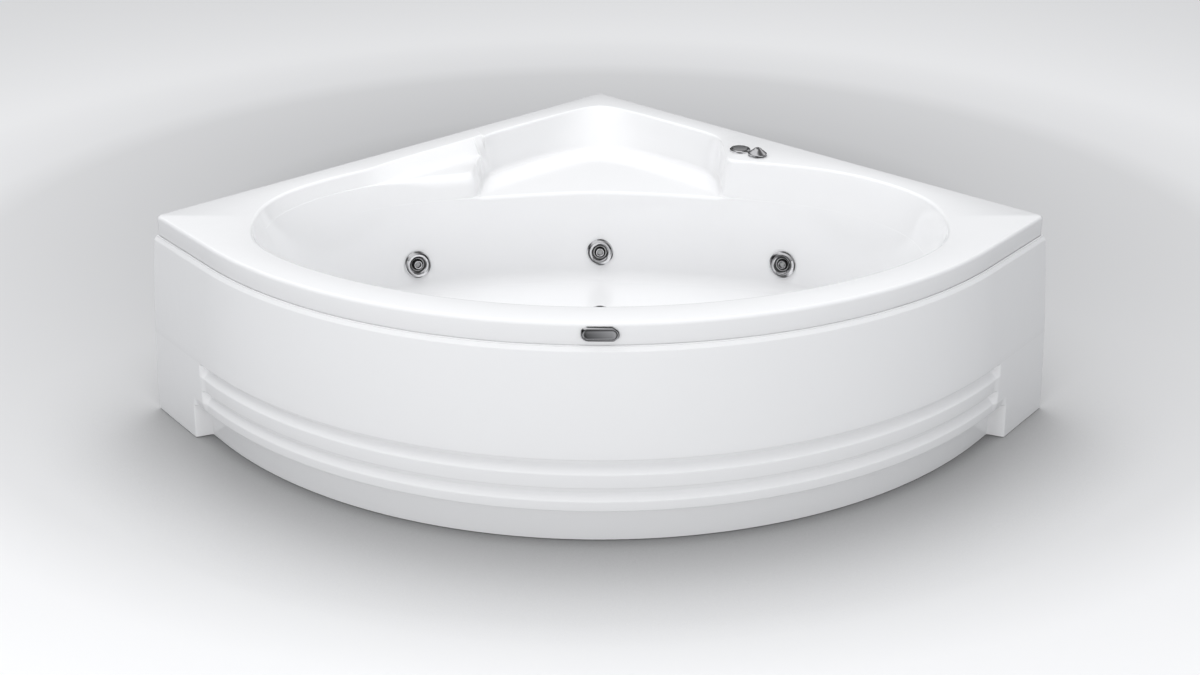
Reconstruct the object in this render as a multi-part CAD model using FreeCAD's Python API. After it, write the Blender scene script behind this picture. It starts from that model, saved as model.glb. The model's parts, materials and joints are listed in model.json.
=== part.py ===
# Corner bathtub with water jets, full size, in millimetres.
# +X runs to the right along the front, +Y points to the wall corner, +Z is up.
# The origin is on the floor, under the middle of the whole tub.
# Places are written as (x, d, z), where d is the distance forwards from the wall corner.
import FreeCAD, Part
import math
import os
from FreeCAD import Vector

os.makedirs("parts", exist_ok=True)

# ---- driving dimensions ----
side = 1500.0            # length of each wall side
height = 500.0           # floor to rim
skin = 6.0               # acrylic with its backing
skirt = 60.0             # downturned edge of the rim
end_length = 270.0       # straight end beside each wall
end_flare = math.radians(4.0)
rim_radius = 8.0
corner_radius = 12.0

basin_depth = 330.0
basin_middle = 1090.0    # d of the point that the basin is drawn around
basin_half = 826.0       # half length of the oval
basin_front = 1582.0     # d of the oval's front edge
basin_bow = 1095.0       # radius of the oval's front edge
basin_back = 580.0       # d of the wall under the seat, at rim level
wall_band = 70.0         # flat rim between the oval and the walls
deck_start = 565.0       # line of the side decks: d = deck_start + deck_slope * |x|
deck_slope = 0.245
front_draft = 0.20
end_draft = 0.40
wall_draft = 0.30
deck_draft = 0.18
back_draft = 0.28
lip = 8.0                # rounding of the basin's edge
cove = 40.0              # rounding between wall and basin floor
roundness = 18.0         # higher gives tighter corners in the oval

seat_depth = 100.0
seat_half = 335.0
seat_middle = 450.0
seat_front = 750.0
seat_band = 72.0
seat_draft = 0.12
seat_roundness = 16.0
seat_corner = 0.13       # rounding of the seat's rear corner at the rim, and how fast it grows
seat_corner_growth = 0.0041

armrest_depth = 40.0
armrest_end = -645.0
armrest_start = -331.0
armrest_slope = 40.0

panel_gap = 12.0         # panel's shoulder stands this far outside the rim
panel_shoulder = 442.0   # height of the shoulder below the panel's bevelled lip
panel_wall = 5.0
panel_top = 452.5
panel_foot = 2.0
face_end = (37.0, 207.0)  # lower edge of the panel's main face: outside the rim, above the floor
band_out = 40.0          # the panel's outermost line along the bow
block_out = 50.0         # foot of the plain end blocks
plinth_out = 11.7
panel_start = 5.0        # gap between the panel's ends and the walls
plinth_top = 83.0
end_block = 205.0        # from each wall to the plinth's recess
groove_start = 240.0     # from each wall to the grooves

hanger_reach = 900.0     # wall corner to the middle of each wall hanger

tube_size = 30.0
tube_wall = 2.0
tube_top = 148.0
rod_radius = 6.0
nut_height = 9.0

jet_angles = (144.5, 90.0, 35.5)
jet_depth = 260.0
jet_radius = 36.0
ball_radius = 17.0
suction_angle = -52.0
suction_depth = 255.0
overflow_depth = 39.0
drain_d = 1400.0
overflow_join_z = 122.0  # height at which the overflow pipe enters the trap
outlet_z = 58.0          # height of the waste pipe
button_place = (379.0, 567.0)
air_place = (421.0, 612.0)
pump_d = 380.0
pump_z = 214.0
plate_screw_spots = [(x, d) for x in (-8.0, 8.0) for d in (325.0, 435.0)]
fit_gap = 0.05           # running clearance, on the radius
loose_gap = 0.4          # free clearance, on the radius

# ---- derived sizes ----
root2 = math.sqrt(2.0)
end_u = side + end_length * math.tan(end_flare)
bow_radius = (end_u - end_length) / (math.cos(end_flare) + math.sin(end_flare))
bow_middle = end_u - bow_radius * math.cos(end_flare)
bow_d = bow_middle * root2
front_reach = bow_d + bow_radius
corner_y = (front_reach + band_out + corner_radius * (root2 - 1.0)) / 2.0
floor_z = height - basin_depth
tube_z = tube_top - tube_size / 2.0


def place(x, d, z):
    return Vector(x, corner_y - d, z)


def wall_place(u, v, z):
    # u is measured along the right wall and v along the left wall, both from the corner
    return place((u - v) / root2, (u + v) / root2, z)


def save(name, shape):
    shape.exportStep("parts/" + name + ".step")
    volume = round(shape.Volume / 1000.0, 1)
    print(name, "solids", len(shape.Solids), "volume", volume, "cm3", shape.isValid())


# ---- plan of the whole tub ----
def tangent_points(inset):
    # where the straight end meets the bow, and the same point mirrored
    u = bow_middle + (bow_radius - inset) * math.cos(end_flare)
    v = bow_middle - (bow_radius - inset) * math.sin(end_flare)
    return (u, v), (v, u)


def end_corner(inset, v):
    # the point of the straight end's line at distance v from the right wall
    u = side + v * math.tan(end_flare) - inset / math.cos(end_flare)
    return (u, v)


def plan_face(inset, z):
    bow_a, bow_b = tangent_points(inset)
    end_a = end_corner(inset, inset)
    end_b = (end_a[1], end_a[0])
    crown = bow_middle + (bow_radius - inset) / root2
    corner = wall_place(inset, inset, z)
    edges = [
        Part.LineSegment(corner, wall_place(*end_a, z)).toShape(),
        Part.LineSegment(wall_place(*end_a, z), wall_place(*bow_a, z)).toShape(),
        Part.Arc(wall_place(*bow_a, z), wall_place(crown, crown, z), wall_place(*bow_b, z)).toShape(),
        Part.LineSegment(wall_place(*bow_b, z), wall_place(*end_b, z)).toShape(),
        Part.LineSegment(wall_place(*end_b, z), corner).toShape(),
    ]
    return Part.Face(Part.Wire(edges))


# ---- the oval basin and the seat, drawn by their distance from a middle point ----
def blend_limits(limits, power):
    return sum(limit ** -power for limit in limits) ** (-1.0 / power)


def basin_reach(angle, depth, grow):
    across = abs(math.cos(angle))
    ahead = -math.sin(angle)
    bow = basin_bow - front_draft * depth + grow
    offset = basin_middle - (basin_front - basin_bow)
    limits = [math.sqrt((ahead * offset) ** 2 - offset ** 2 + bow ** 2) - ahead * offset]
    limits.append((basin_half - end_draft * depth + grow) / max(across, 1e-6))
    if across - ahead > 1e-6:
        limits.append((basin_middle - (wall_band + wall_draft * depth - grow) * root2) / (across - ahead))
    lean = deck_slope * across - ahead
    if lean > 1e-6:
        inset = (deck_draft * depth - grow) * math.hypot(1.0, deck_slope)
        limits.append((basin_middle - deck_start - inset) / lean)
    if ahead < -1e-6:
        limits.append((basin_middle - basin_back - back_draft * depth + grow) / -ahead)
    return blend_limits(limits, roundness)


def seat_reach(angle, depth, grow):
    across = abs(math.cos(angle))
    ahead = -math.sin(angle)
    shrink = seat_draft * depth - grow
    limits = [(seat_half - shrink) / max(across, 1e-6)]
    if ahead > 1e-6:
        limits.append((seat_front - seat_middle) / ahead)
    rounded = math.hypot(across, seat_corner + seat_corner_growth * depth)
    if rounded - ahead > 1e-6:
        limits.append((seat_middle - (seat_band + shrink) * root2) / (rounded - ahead))
    return blend_limits(limits, seat_roundness)


def ring_wire(reach, middle, depth, grow, count):
    points = []
    for i in range(count):
        angle = 2.0 * math.pi * i / count
        r = reach(angle, depth, grow)
        points.append(place(r * math.cos(angle), middle - r * math.sin(angle), height - depth))
    curve = Part.BSplineCurve()
    curve.interpolate(Points=points, PeriodicFlag=True)
    return Part.Wire([curve.toShape()])


def hollow_tool(reach, middle, levels, count):
    wires = [ring_wire(reach, middle, depth, grow, count) for depth, grow in levels]
    return Part.makeLoft(wires, True, True)


def cove_levels(depth, radius, steps):
    levels = []
    for i in range(1, steps + 1):
        turn = math.pi / 2.0 * i / steps
        levels.append((depth - radius + radius * math.sin(turn), -radius * (1.0 - math.cos(turn))))
    return levels


def armrest_tool(low, grow):
    # the lowered deck on the left, between the wall band and the basin
    def outline(z, band):
        line = band * root2
        near_seat = armrest_start + grow
        far = armrest_end - grow
        corners = [(near_seat, line - near_seat), (far, line - far), (far, 900.0), (near_seat, 900.0)]
        return Part.makePolygon([place(x, d, z) for x, d in corners + corners[:1]])
    top = height + 2.0 if grow == 0 else height - skin + 1.0
    slope = armrest_slope * (top - low) / armrest_depth
    foot = seat_band + armrest_slope - grow
    return Part.makeLoft([outline(low, foot), outline(top, foot - slope)], True, True)


def basin_surface(angle, depth):
    r = basin_reach(angle, depth, 0.0)
    return place(r * math.cos(angle), basin_middle - r * math.sin(angle), height - depth)


def wall_frame(degrees, depth):
    # placement whose Z leaves the basin wall towards the water, with X level
    angle = math.radians(degrees)
    here = basin_surface(angle, depth)
    along = basin_surface(angle + 0.01, depth) - basin_surface(angle - 0.01, depth)
    upward = basin_surface(angle, depth - 5.0) - basin_surface(angle, depth + 5.0)
    normal = along.cross(upward)
    if normal.dot(place(0.0, basin_middle, here.z) - here) < 0:
        normal = normal * -1.0
    level = Vector(0, 0, 1).cross(normal)
    turn = FreeCAD.Rotation(level, Vector(0, 0, 0), normal, "ZXY")
    return FreeCAD.Placement(here, turn)


def upright(spot, z=0.0):
    return FreeCAD.Placement(place(spot[0], spot[1], z), FreeCAD.Rotation())


def deck_frame(spot):
    return upright(spot, height)


# ---- small builders, all about their own Z axis ----
def turned(points):
    profile = Part.makePolygon([Vector(r, 0, z) for r, z in points + points[:1]])
    return Part.Face(profile).revolve(Vector(0, 0, 0), Vector(0, 0, 1), 360)


def rod(radius, low, high):
    return Part.makeCylinder(radius, high - low, Vector(0, 0, low))


def pipe_stub(outer, inner, low, high):
    return rod(outer, low, high).cut(rod(inner, low, high))


def moved(shape, frame):
    result = shape.copy()
    result.Placement = frame.multiply(result.Placement)
    return result


def aim(start, direction):
    return FreeCAD.Placement(start, FreeCAD.Rotation(Vector(0, 0, 1), direction))


def hex_nut(across_flats, bore, low, high):
    radius = across_flats / math.sqrt(3.0)
    turns = [k * math.pi / 3.0 for k in range(7)]
    corners = [Vector(radius * math.cos(turn), radius * math.sin(turn), low) for turn in turns]
    prism = Part.Face(Part.makePolygon(corners)).extrude(Vector(0, 0, high - low))
    return prism.cut(rod(bore, low, high))


def ring_of_holes(shape, ring, count, radius, low):
    for k in range(count):
        angle = 2.0 * math.pi * k / count
        spot = Vector(ring * math.cos(angle), ring * math.sin(angle), low)
        shape = shape.cut(Part.makeCylinder(radius, 20.0, spot))
    return shape


def bent_path(points, radius):
    # straight runs joined by tangent arcs
    edges = []
    start = points[0]
    for before, corner, after in zip(points, points[1:], points[2:]):
        back = (before - corner)
        ahead = (after - corner)
        half_turn = (math.pi - back.getAngle(ahead)) / 2.0
        reach = min(radius * math.tan(half_turn), 0.45 * min(back.Length, ahead.Length))
        arc_radius = reach / math.tan(half_turn)
        back.normalize()
        ahead.normalize()
        inward = back + ahead
        inward.normalize()
        first = corner + back * reach
        last = corner + ahead * reach
        middle = corner + inward * (arc_radius / math.cos(half_turn) - arc_radius)
        edges.append(Part.LineSegment(start, first).toShape())
        edges.append(Part.Arc(first, middle, last).toShape())
        start = last
    edges.append(Part.LineSegment(start, points[-1]).toShape())
    return Part.Wire(edges)


def bent_pipe(points, outer, inner, radius):
    path = bent_path(points, radius)
    start = points[0]
    direction = points[1] - points[0]
    ring = Part.Wire([Part.Circle(start, direction, outer).toShape()])
    body = path.makePipeShell([ring], True, False)
    core = Part.Wire([Part.Circle(start, direction, inner).toShape()])
    return body.cut(path.makePipeShell([core], True, False))


def box_tube(start, end, size):
    # square steel tube between two points at the same height, in x or along the diagonal
    length = (end - start).Length
    outer = Part.makeBox(size, size, length, Vector(-size / 2.0, -size / 2.0, 0))
    inside = size - 2.0 * tube_wall
    inner = Part.makeBox(inside, inside, length, Vector(-inside / 2.0, -inside / 2.0, 0))
    direction = end - start
    across = Vector(0, 0, 1) if abs(direction.z) < 1.0 else Vector(1, 0, 0)
    turn = FreeCAD.Rotation(across, Vector(0, 0, 0), direction, "ZXY")
    return moved(outer.cut(inner), FreeCAD.Placement(start, turn))


def flat_box(x_low, x_high, d_low, d_high, z_low, z_high):
    return Part.makeBox(x_high - x_low, d_high - d_low, z_high - z_low, place(x_low, d_high, z_low))


def fuse_all(shapes):
    result = shapes[0]
    for shape in shapes[1:]:
        result = result.fuse(shape)
    return result.removeSplitter()


# ---- tub shell ----
def rim_block():
    block = plan_face(0.0, height - skirt).extrude(Vector(0, 0, skirt))
    corners = [wall_place(0, 0, 0), wall_place(side, 0, 0), wall_place(0, side, 0)]
    uprights = []
    for edge in block.Edges:
        low, high = edge.Vertexes[0].Point, edge.Vertexes[-1].Point
        is_upright = abs(low.x - high.x) + abs(low.y - high.y) < 0.1
        if is_upright and any(math.hypot(low.x - c.x, low.y - c.y) < 1.0 for c in corners):
            uprights.append(edge)
    block = block.makeFillet(corner_radius, uprights)
    top = [edge for edge in block.Edges if all(abs(v.Point.z - height) < 0.01 for v in edge.Vertexes)]
    return block.makeFillet(rim_radius, top)


def tub_shell():
    rim = rim_block()
    under = plan_face(skin, height - skirt - 1.0).extrude(Vector(0, 0, skirt + 1.0 - skin))
    cove_inner = cove_levels(basin_depth, cove, 4)
    cove_outer = cove_levels(basin_depth + skin, cove, 4)
    basin_in = [(-2.0, lip + 2.0), (lip, 0.0), (basin_depth - cove, 0.0)] + cove_inner
    basin_out = [(skin - 1.0, skin + 4.0), (lip + skin, skin), (basin_depth + skin - cove, skin)]
    basin_out += [(depth, grow + skin) for depth, grow in cove_outer]
    seat_in = [(-2.0, lip + 2.0), (lip, 0.0), (seat_depth, 0.0)]
    seat_out = [(skin - 1.0, skin + 4.0), (lip + skin, skin), (seat_depth + skin, skin)]
    body = rim.cut(under)
    body = body.fuse(hollow_tool(basin_reach, basin_middle, basin_out, 60))
    body = body.fuse(hollow_tool(seat_reach, seat_middle, seat_out, 40))
    body = body.fuse(armrest_tool(height - armrest_depth - skin, skin))
    body = body.cut(hollow_tool(basin_reach, basin_middle, basin_in, 60))
    body = body.cut(hollow_tool(seat_reach, seat_middle, seat_in, 40))
    body = body.cut(armrest_tool(height - armrest_depth, 0.0))
    for degrees in jet_angles:
        body = body.cut(moved(rod(25.5, -30.0, 30.0), wall_frame(degrees, jet_depth)))
    body = body.cut(moved(rod(28.5, -30.0, 30.0), wall_frame(suction_angle, suction_depth)))
    body = body.cut(moved(rod(20.5, -30.0, 30.0), wall_frame(-90.0, overflow_depth)))
    body = body.cut(moved(rod(26.0, -30.0, 30.0), upright((0.0, drain_d), floor_z)))
    for spot in (button_place, air_place):
        body = body.cut(moved(rod(16.0, -30.0, 30.0), deck_frame(spot)))
    return body


# ---- front panel ----
# each profile is a line of (outside the rim, height above the floor), from the lip down to the floor
lip_profile = [(1.5, 444.0), (1.5, panel_top - 1.5), (3.5, panel_top)]
face_profile = [(panel_gap, panel_shoulder), (24.2, 340.0), (31.4, 270.0), face_end]
plinth_profile = [(plinth_out, plinth_top), (plinth_out, panel_foot)]
groove_profile = [(19.0, 202.0), (19.0, 192.0), (38.5, 174.0), (39.0, 142.0),
                  (26.0, 138.0), (26.0, 126.0), (39.5, 110.0), (band_out, 88.0)]
wall_profile = face_profile + groove_profile + plinth_profile
block_side = (45.5, 88.0)
ledge_profile = face_profile + [block_side] + plinth_profile
block_profile = face_profile + [block_side, (block_out, panel_foot)]
# webs that close the hollow behind the ends of the grooves and of the plinth's recess
groove_web = [(34.0, 210.0), face_end, block_side, (plinth_out, plinth_top), (plinth_out, 210.0)]
plinth_web = [(plinth_out, 92.0), (44.0, 92.0), block_side, (block_out, panel_foot),
              (plinth_out - panel_wall, panel_foot), (plinth_out - panel_wall, 92.0)]


def inner_line(points):
    # the same line moved inwards by the panel's thickness, with mitred corners
    inner = []
    for i, (out, z) in enumerate(points):
        before = points[max(i - 1, 0)]
        after = points[min(i + 1, len(points) - 1)]
        first = Vector(out - before[0], z - before[1], 0)
        last = Vector(after[0] - out, after[1] - z, 0)
        if i == 0:
            first = Vector(last)
        if i == len(points) - 1:
            last = Vector(first)
        first.normalize()
        last.normalize()
        way = Vector(first.y + last.y, -first.x - last.x, 0)
        way.normalize()
        spread = max(way.dot(Vector(first.y, -first.x, 0)), 0.6)
        inner.append((out + way.x * panel_wall / spread, z + way.y * panel_wall / spread))
    return inner


def panel_section(profile, v):
    # the profile standing on the straight end's line, at distance v from the right wall
    base_u, base_v = end_corner(0.0, v)
    out_u, out_v = math.cos(end_flare), -math.sin(end_flare)
    corners = [wall_place(base_u + out * out_u, base_v + out * out_v, z) for out, z in profile]
    return Part.Face(Part.makePolygon(corners + corners[:1]))


def front_panel():
    grooved, ledged, plain = [lip_profile + line + inner_line(line)[::-1]
                              for line in (wall_profile, ledge_profile, block_profile)]
    along = wall_place(*end_corner(0.0, end_length), 0) - wall_place(*end_corner(0.0, 0.0), 0)
    along.normalize()
    stretch = 1.0 / math.cos(end_flare)
    pieces = []
    for profile, start, stop in ((plain, panel_start, end_block), (ledged, end_block, groove_start),
                                 (grooved, groove_start, end_length),
                                 (plinth_web, end_block - panel_wall, end_block),
                                 (groove_web, groove_start - panel_wall, groove_start)):
        pieces.append(panel_section(profile, start).extrude(along * (stop - start) * stretch))
    right = fuse_all(pieces)
    left = right.mirror(Vector(0, 0, 0), Vector(1, 0, 0))
    sweep = 90.0 + 2.0 * math.degrees(end_flare)
    bow = panel_section(grooved, end_length).revolve(place(0.0, bow_d, 0.0), Vector(0, 0, 1), -sweep)
    return fuse_all([right, bow, left])


def trim_cap():
    half, radius = 24.0, 16.0
    z = height - 23.0
    face_d = front_reach + 7.0
    left, right = place(-half, face_d, z), place(half, face_d, z)
    up = Vector(0, 0, radius)
    edges = [Part.LineSegment(left + up, right + up).toShape(),
             Part.Arc(right + up, right + Vector(radius, 0, 0), right - up).toShape(),
             Part.LineSegment(right - up, left - up).toShape(),
             Part.Arc(left - up, left - Vector(radius, 0, 0), left + up).toShape()]
    pill = Part.Face(Part.Wire(edges)).extrude(Vector(0, 12.0, 0))
    outer = [edge for edge in pill.Edges if all(abs(v.Point.y - left.y) < 0.01 for v in edge.Vertexes)]
    pill = pill.makeFillet(5.0, outer)
    return pill.cut(plan_face(0.0, height - skirt).extrude(Vector(0, 0, skirt)))


# ---- steel frame, feet and brackets ----
foot_spots = [(0.0, 190.0), (-535.0, 745.0), (535.0, 745.0), (-455.0, 1330.0), (455.0, 1330.0)]


def foot_hole(spot):
    return moved(rod(rod_radius + 0.5, 100.0, 170.0), upright(spot))


def frame_tubes():
    half = tube_size / 2.0
    runs = {
        "frame_rear_tube": ((-560.0, 745.0), (560.0, 745.0)),
        "frame_front_tube": ((-480.0, 1330.0), (480.0, 1330.0)),
        "frame_left_tube": ((-400.0, 745.0 + half), (-400.0, 1330.0 - half)),
        "frame_right_tube": ((400.0, 745.0 + half), (400.0, 1330.0 - half)),
        "frame_spine_tube": ((0.0, 150.0), (0.0, 745.0 - half)),
    }
    for name, (start, end) in runs.items():
        tube = box_tube(place(*start, tube_z), place(*end, tube_z), tube_size)
        for spot in foot_spots:
            tube = tube.cut(foot_hole(spot))
        save(name, tube)


def base_board():
    board = flat_box(-430.0, 430.0, 700.0, 1290.0, tube_top, floor_z - skin)
    uprights = [edge for edge in board.Edges if abs(edge.Vertexes[0].Z - edge.Vertexes[-1].Z) > 1.0]
    return board.makeFillet(60.0, uprights)


def feet():
    pad = turned([(0, 0), (30, 0), (30, 5), (26, 9), (13, 13), (12, 24), (rod_radius, 24),
                  (rod_radius, 10), (0, 10)])
    rods = []
    nuts = []
    for number, spot in enumerate(foot_spots, 1):
        frame = upright(spot)
        save("foot_pad_%d" % number, moved(pad, frame))
        rods.append(moved(rod(rod_radius, 10.0, 160.0), frame))
        for low in (24.0, tube_top - tube_size - nut_height, tube_top):
            nuts.append(moved(hex_nut(18.0, rod_radius, low, low + nut_height), frame))
    save("foot_rods", Part.makeCompound(rods))
    save("foot_nuts", Part.makeCompound(nuts))


def wall_hangers():
    # steel angles on the walls, which carry the rim's downturned edge
    low = height - skirt
    plate = Part.makeBox(120.0, 3.0, 62.0, Vector(-60.0, 0.0, low - 62.0))
    ledge = Part.makeBox(120.0, 24.0, 3.0, Vector(-60.0, 0.0, low - 3.0))
    angle = plate.fuse(ledge).removeSplitter()
    for x in (-40.0, 40.0):
        angle = angle.cut(Part.makeCylinder(3.5, 10.0, Vector(x, -2.0, low - 35.0), Vector(0, 1, 0)))
    pair = []
    for u, v in ((hanger_reach, 0.0), (0.0, hanger_reach)):
        inward = wall_place(v, u, 0) - wall_place(0, 0, 0)
        turn = FreeCAD.Rotation(Vector(0, 0, 0), inward, Vector(0, 0, 1), "ZYX")
        pair.append(moved(angle, FreeCAD.Placement(wall_place(u, v, 0), turn)))
    return Part.makeCompound(pair)


arm_angle = math.asin(430.0 / bow_radius)
post_out = bow_radius - 45.0
post_size = 20.0
clip_z = 414.0


def arm_frame(sign):
    # placement on the bow's vertical axis, whose X points out to the panel at one arm
    direction = Vector(sign * math.sin(arm_angle), -math.cos(arm_angle), 0)
    turn = FreeCAD.Rotation(direction, Vector(0, 0, 0), Vector(0, 0, 1), "ZXY")
    return FreeCAD.Placement(place(0.0, bow_d, 0.0), turn)


def panel_arms():
    # outriggers from the front tube, each with an upright that reaches the rim
    low = tube_top - tube_size
    arm_root = 800.0
    behind_front_tube = flat_box(-700.0, 700.0, 0.0, 1330.0 + tube_size / 2.0, 0.0, 300.0)
    solids = []
    for sign in (-1, 1):
        arm = Part.makeBox(post_out - arm_root, post_size, post_size, Vector(arm_root, -post_size / 2.0, low))
        post = Part.makeBox(post_size, post_size, height - skin - low,
                            Vector(post_out - post_size, -post_size / 2.0, low))
        shape = moved(arm.fuse(post).removeSplitter(), arm_frame(sign))
        solids.append(shape.cut(behind_front_tube))
    return Part.makeCompound(solids)


def panel_clips():
    back = bow_radius + panel_gap - panel_wall
    z = clip_z
    solids = []
    for sign in (-1, 1):
        ledge = Part.makeBox(back - 1.0 - post_out, 40.0, 3.0, Vector(post_out, -20.0, z))
        tab = Part.makeBox(3.0, 40.0, 24.0, Vector(back - 3.7, -20.0, z))
        root = Part.makeBox(3.0, 40.0, 24.0, Vector(post_out, -20.0, z - 21.0))
        hole = moved(rod(2.0, -4.0, 1.0), aim(Vector(post_out + 3.0, 0, z - 11.0), Vector(1, 0, 0)))
        solids.append(moved(ledge.fuse([tab, root]).cut(hole).removeSplitter(), arm_frame(sign)))
    return Part.makeCompound(solids)


def screw_set():
    # pan-head screws: clips to posts, and pump plate to the spine tube
    screw = rod(4.0, 0.0, 2.6).fuse(rod(2.0, -1.9, 0.0)).removeSplitter()
    screws = []
    for sign in (-1, 1):
        head = aim(Vector(post_out + 3.0, 0, clip_z - 11.0), Vector(1, 0, 0))
        screws.append(moved(moved(screw, head), arm_frame(sign)))
    for spot in plate_screw_spots:
        screws.append(moved(screw, upright(spot, tube_top + 4.0)))
    return Part.makeCompound(screws)


# ---- water jets ----
tee_depth = -44.0
tee_half = 42.0
air_depth = -34.0
air_reach = 55.0
pipe_outer = 16.0
pipe_inner = 13.0


def jet_face():
    return turned([(21.0, 5.4), (21.0, 7.5), (24.0, 9.6), (28.0, 9.8), (33.0, 7.8), (jet_radius, 4.2),
                   (jet_radius, 3.2), (33.0 + loose_gap, 3.2), (33.0 + loose_gap, 5.4)])


def jet_nozzle():
    ball = Part.makeSphere(ball_radius, Vector(0, 0, -6.0))
    ball = ball.common(rod(ball_radius + 1.0, -20.0, 7.5))
    collar = pipe_stub(11.0, 7.5, 2.0, 10.5)
    bore = rod(7.5, -2.0, 30.0).fuse(rod(5.0, -30.0, -2.0))
    return ball.fuse(collar).cut(bore).removeSplitter()


def jet_body(is_centre):
    shell = turned([(ball_radius + loose_gap, 5.0), (33.0, 5.0), (33.0, 2.9), (25.0, 1.6), (25.0, -26.0),
                    (27.0, -28.0), (27.0, -62.0), (0, -62.0), (0, -58.0), (23.0, -58.0), (23.0, -26.0),
                    (ball_radius + loose_gap, -26.0)])
    across = aim(Vector(0, 0, tee_depth), Vector(1, 0, 0))
    tee = moved(rod(pipe_outer + 3.0, -tee_half, tee_half), across)
    bore = moved(rod(pipe_inner, -tee_half - 1.0, tee_half + 1.0), across)
    upwards = aim(Vector(0, 0, air_depth), Vector(0, 1, 0))
    air = moved(rod(7.0, 20.0, air_reach), upwards)
    air_bore = moved(rod(4.0, 10.0, air_reach + 1.0), upwards)
    body = shell.fuse([tee, air]).cut(bore).cut(rod(22.9, -57.9, -28.0))
    if is_centre:
        riser = moved(rod(18.0, 20.0, 46.0), aim(Vector(0, 0, tee_depth - 6.0), Vector(0, 1, 0)))
        socket = moved(rod(20.0, 14.0, 38.0), aim(Vector(0, 27.0, tee_depth), Vector(0, 0, -1)))
        port = moved(rod(15.0, -5.0, 38.5), aim(Vector(0, 27.0, tee_depth), Vector(0, 0, -1)))
        body = body.fuse([riser, socket]).cut(port)
    return body.cut(air_bore).removeSplitter()


def jets():
    for number, degrees in enumerate(jet_angles, 1):
        frame = wall_frame(degrees, jet_depth)
        save("jet_%d_body" % number, moved(jet_body(number == 2), frame))
        save("jet_%d_face" % number, moved(jet_face(), frame))
        save("jet_%d_nozzle" % number, moved(jet_nozzle(), frame))
        print("jet", number, "at", frame.Base, "axis", frame.Rotation.multVec(Vector(0, 0, 1)),
              "level", frame.Rotation.multVec(Vector(1, 0, 0)))


def fitting_nuts():
    # the ring or hexagon nut behind the skin at each fitting
    nuts = []
    wall_nuts = [(25.0, 33.0, degrees, jet_depth) for degrees in jet_angles]
    wall_nuts.append((28.0, 37.0, suction_angle, suction_depth))
    wall_nuts.append((20.0, 28.0, -90.0, overflow_depth))
    for bore, outer, degrees, depth in wall_nuts:
        ring = pipe_stub(outer, bore, -skin - 1.0 - nut_height, -skin - 1.0)
        nuts.append(moved(ring, wall_frame(degrees, depth)))
    for spot in (button_place, air_place):
        nuts.append(moved(hex_nut(40.0, 15.5, -skin - nut_height, -skin), deck_frame(spot)))
    return Part.makeCompound(nuts)


def tee_end(number, sign):
    # end of a jet's tee and the direction in which its pipe leaves
    frame = wall_frame(jet_angles[number - 1], jet_depth)
    end = frame.multVec(Vector(sign * tee_half, 0, tee_depth))
    return end, frame.Rotation.multVec(Vector(sign, 0, 0))


def water_pipes():
    for name, left, right in (("water_pipe_left", 1, 2), ("water_pipe_right", 2, 3)):
        ends = [tee_end(left, sign) for sign in (-1, 1)]
        start, leave = max(ends, key=lambda pair: pair[0].x)
        ends = [tee_end(right, sign) for sign in (-1, 1)]
        stop, arrive = min(ends, key=lambda pair: pair[0].x)
        run = [start, start + leave * 70.0, stop + arrive * 70.0, stop]
        save(name, bent_pipe(run, pipe_outer, pipe_inner, 120.0))


def pressure_pipe():
    frame = wall_frame(90.0, jet_depth)
    port = frame.multVec(Vector(0, 27.0, tee_depth - 38.0))
    way = frame.Rotation.multVec(Vector(0, 0, -1))
    outlet = place(0.0, pump_d + 95.0, pump_z + 44.0)
    return bent_pipe([outlet, outlet + Vector(0, -22.0, 0), port + way * 22.0, port], 18.0, 15.0, 60.0)


def air_pipes():
    # the manifold follows the basin's back, through the air port of each jet
    left, centre, right = jet_angles
    stops = [left, 130.0, 112.0, centre, 68.0, 50.0, right]
    port = Vector(0, air_reach + 5.0, air_depth)
    points = [wall_frame(degrees, jet_depth).multVec(port) for degrees in stops]
    run_left = (points[1] - points[0]).normalize() * 20.0
    run_right = (points[-1] - points[-2]).normalize() * 20.0
    join = points[-1] + run_right
    manifold = bent_pipe([points[0] - run_left] + points[1:-1] + [join], 8.0, 6.0, 60.0)
    for number, degrees in enumerate(jet_angles, 1):
        frame = wall_frame(degrees, jet_depth)
        manifold = manifold.cut(moved(jet_body(number == 2), frame))
        opening = aim(Vector(0, air_reach + 5.0, air_depth), Vector(0, -1, 0))
        manifold = manifold.cut(moved(moved(rod(4.0, 0.0, 9.0), opening), frame))
    save("air_manifold", manifold)
    top = place(*air_place, height - 70.0)
    run = [join, join + run_right * 1.5, join + Vector(6.0, 40.0, 90.0), top - Vector(0, 0, 42.0), top]
    save("air_riser", bent_pipe(run, 8.0, 6.0, 60.0))


# ---- controls on the right deck ----
def button_housing():
    return turned([(21.5, 7.0), (25.0, 7.0), (28.0, 4.0), (28.0, 0.0), (15.5, 0.0), (15.5, -48.0),
                   (4.5, -48.0), (4.5, -56.0), (2.5, -56.0), (2.5, -44.0), (12.0, -44.0), (12.0, -22.0),
                   (8.0 + fit_gap, -22.0), (8.0 + fit_gap, 0.4), (21.5, 0.4)])


def air_button():
    return turned([(0, -16.0), (8.0, -16.0), (8.0, 4.2), (21.0, 4.2), (21.0, 6.8), (19.0, 8.2),
                   (10.0, 9.0), (0, 9.2)])


def air_control_body():
    return turned([(23.0, 0.0), (25.0, 0.0), (25.0, 2.2), (23.0, 3.0), (5.0 + fit_gap, 3.0),
                   (5.0 + fit_gap, -20.0), (12.0, -20.0), (12.0, -52.0), (6.0, -52.0), (6.0, -70.0),
                   (8.0, -70.0), (8.0, -55.0), (15.5, -55.0), (15.5, 0.0)])


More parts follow.
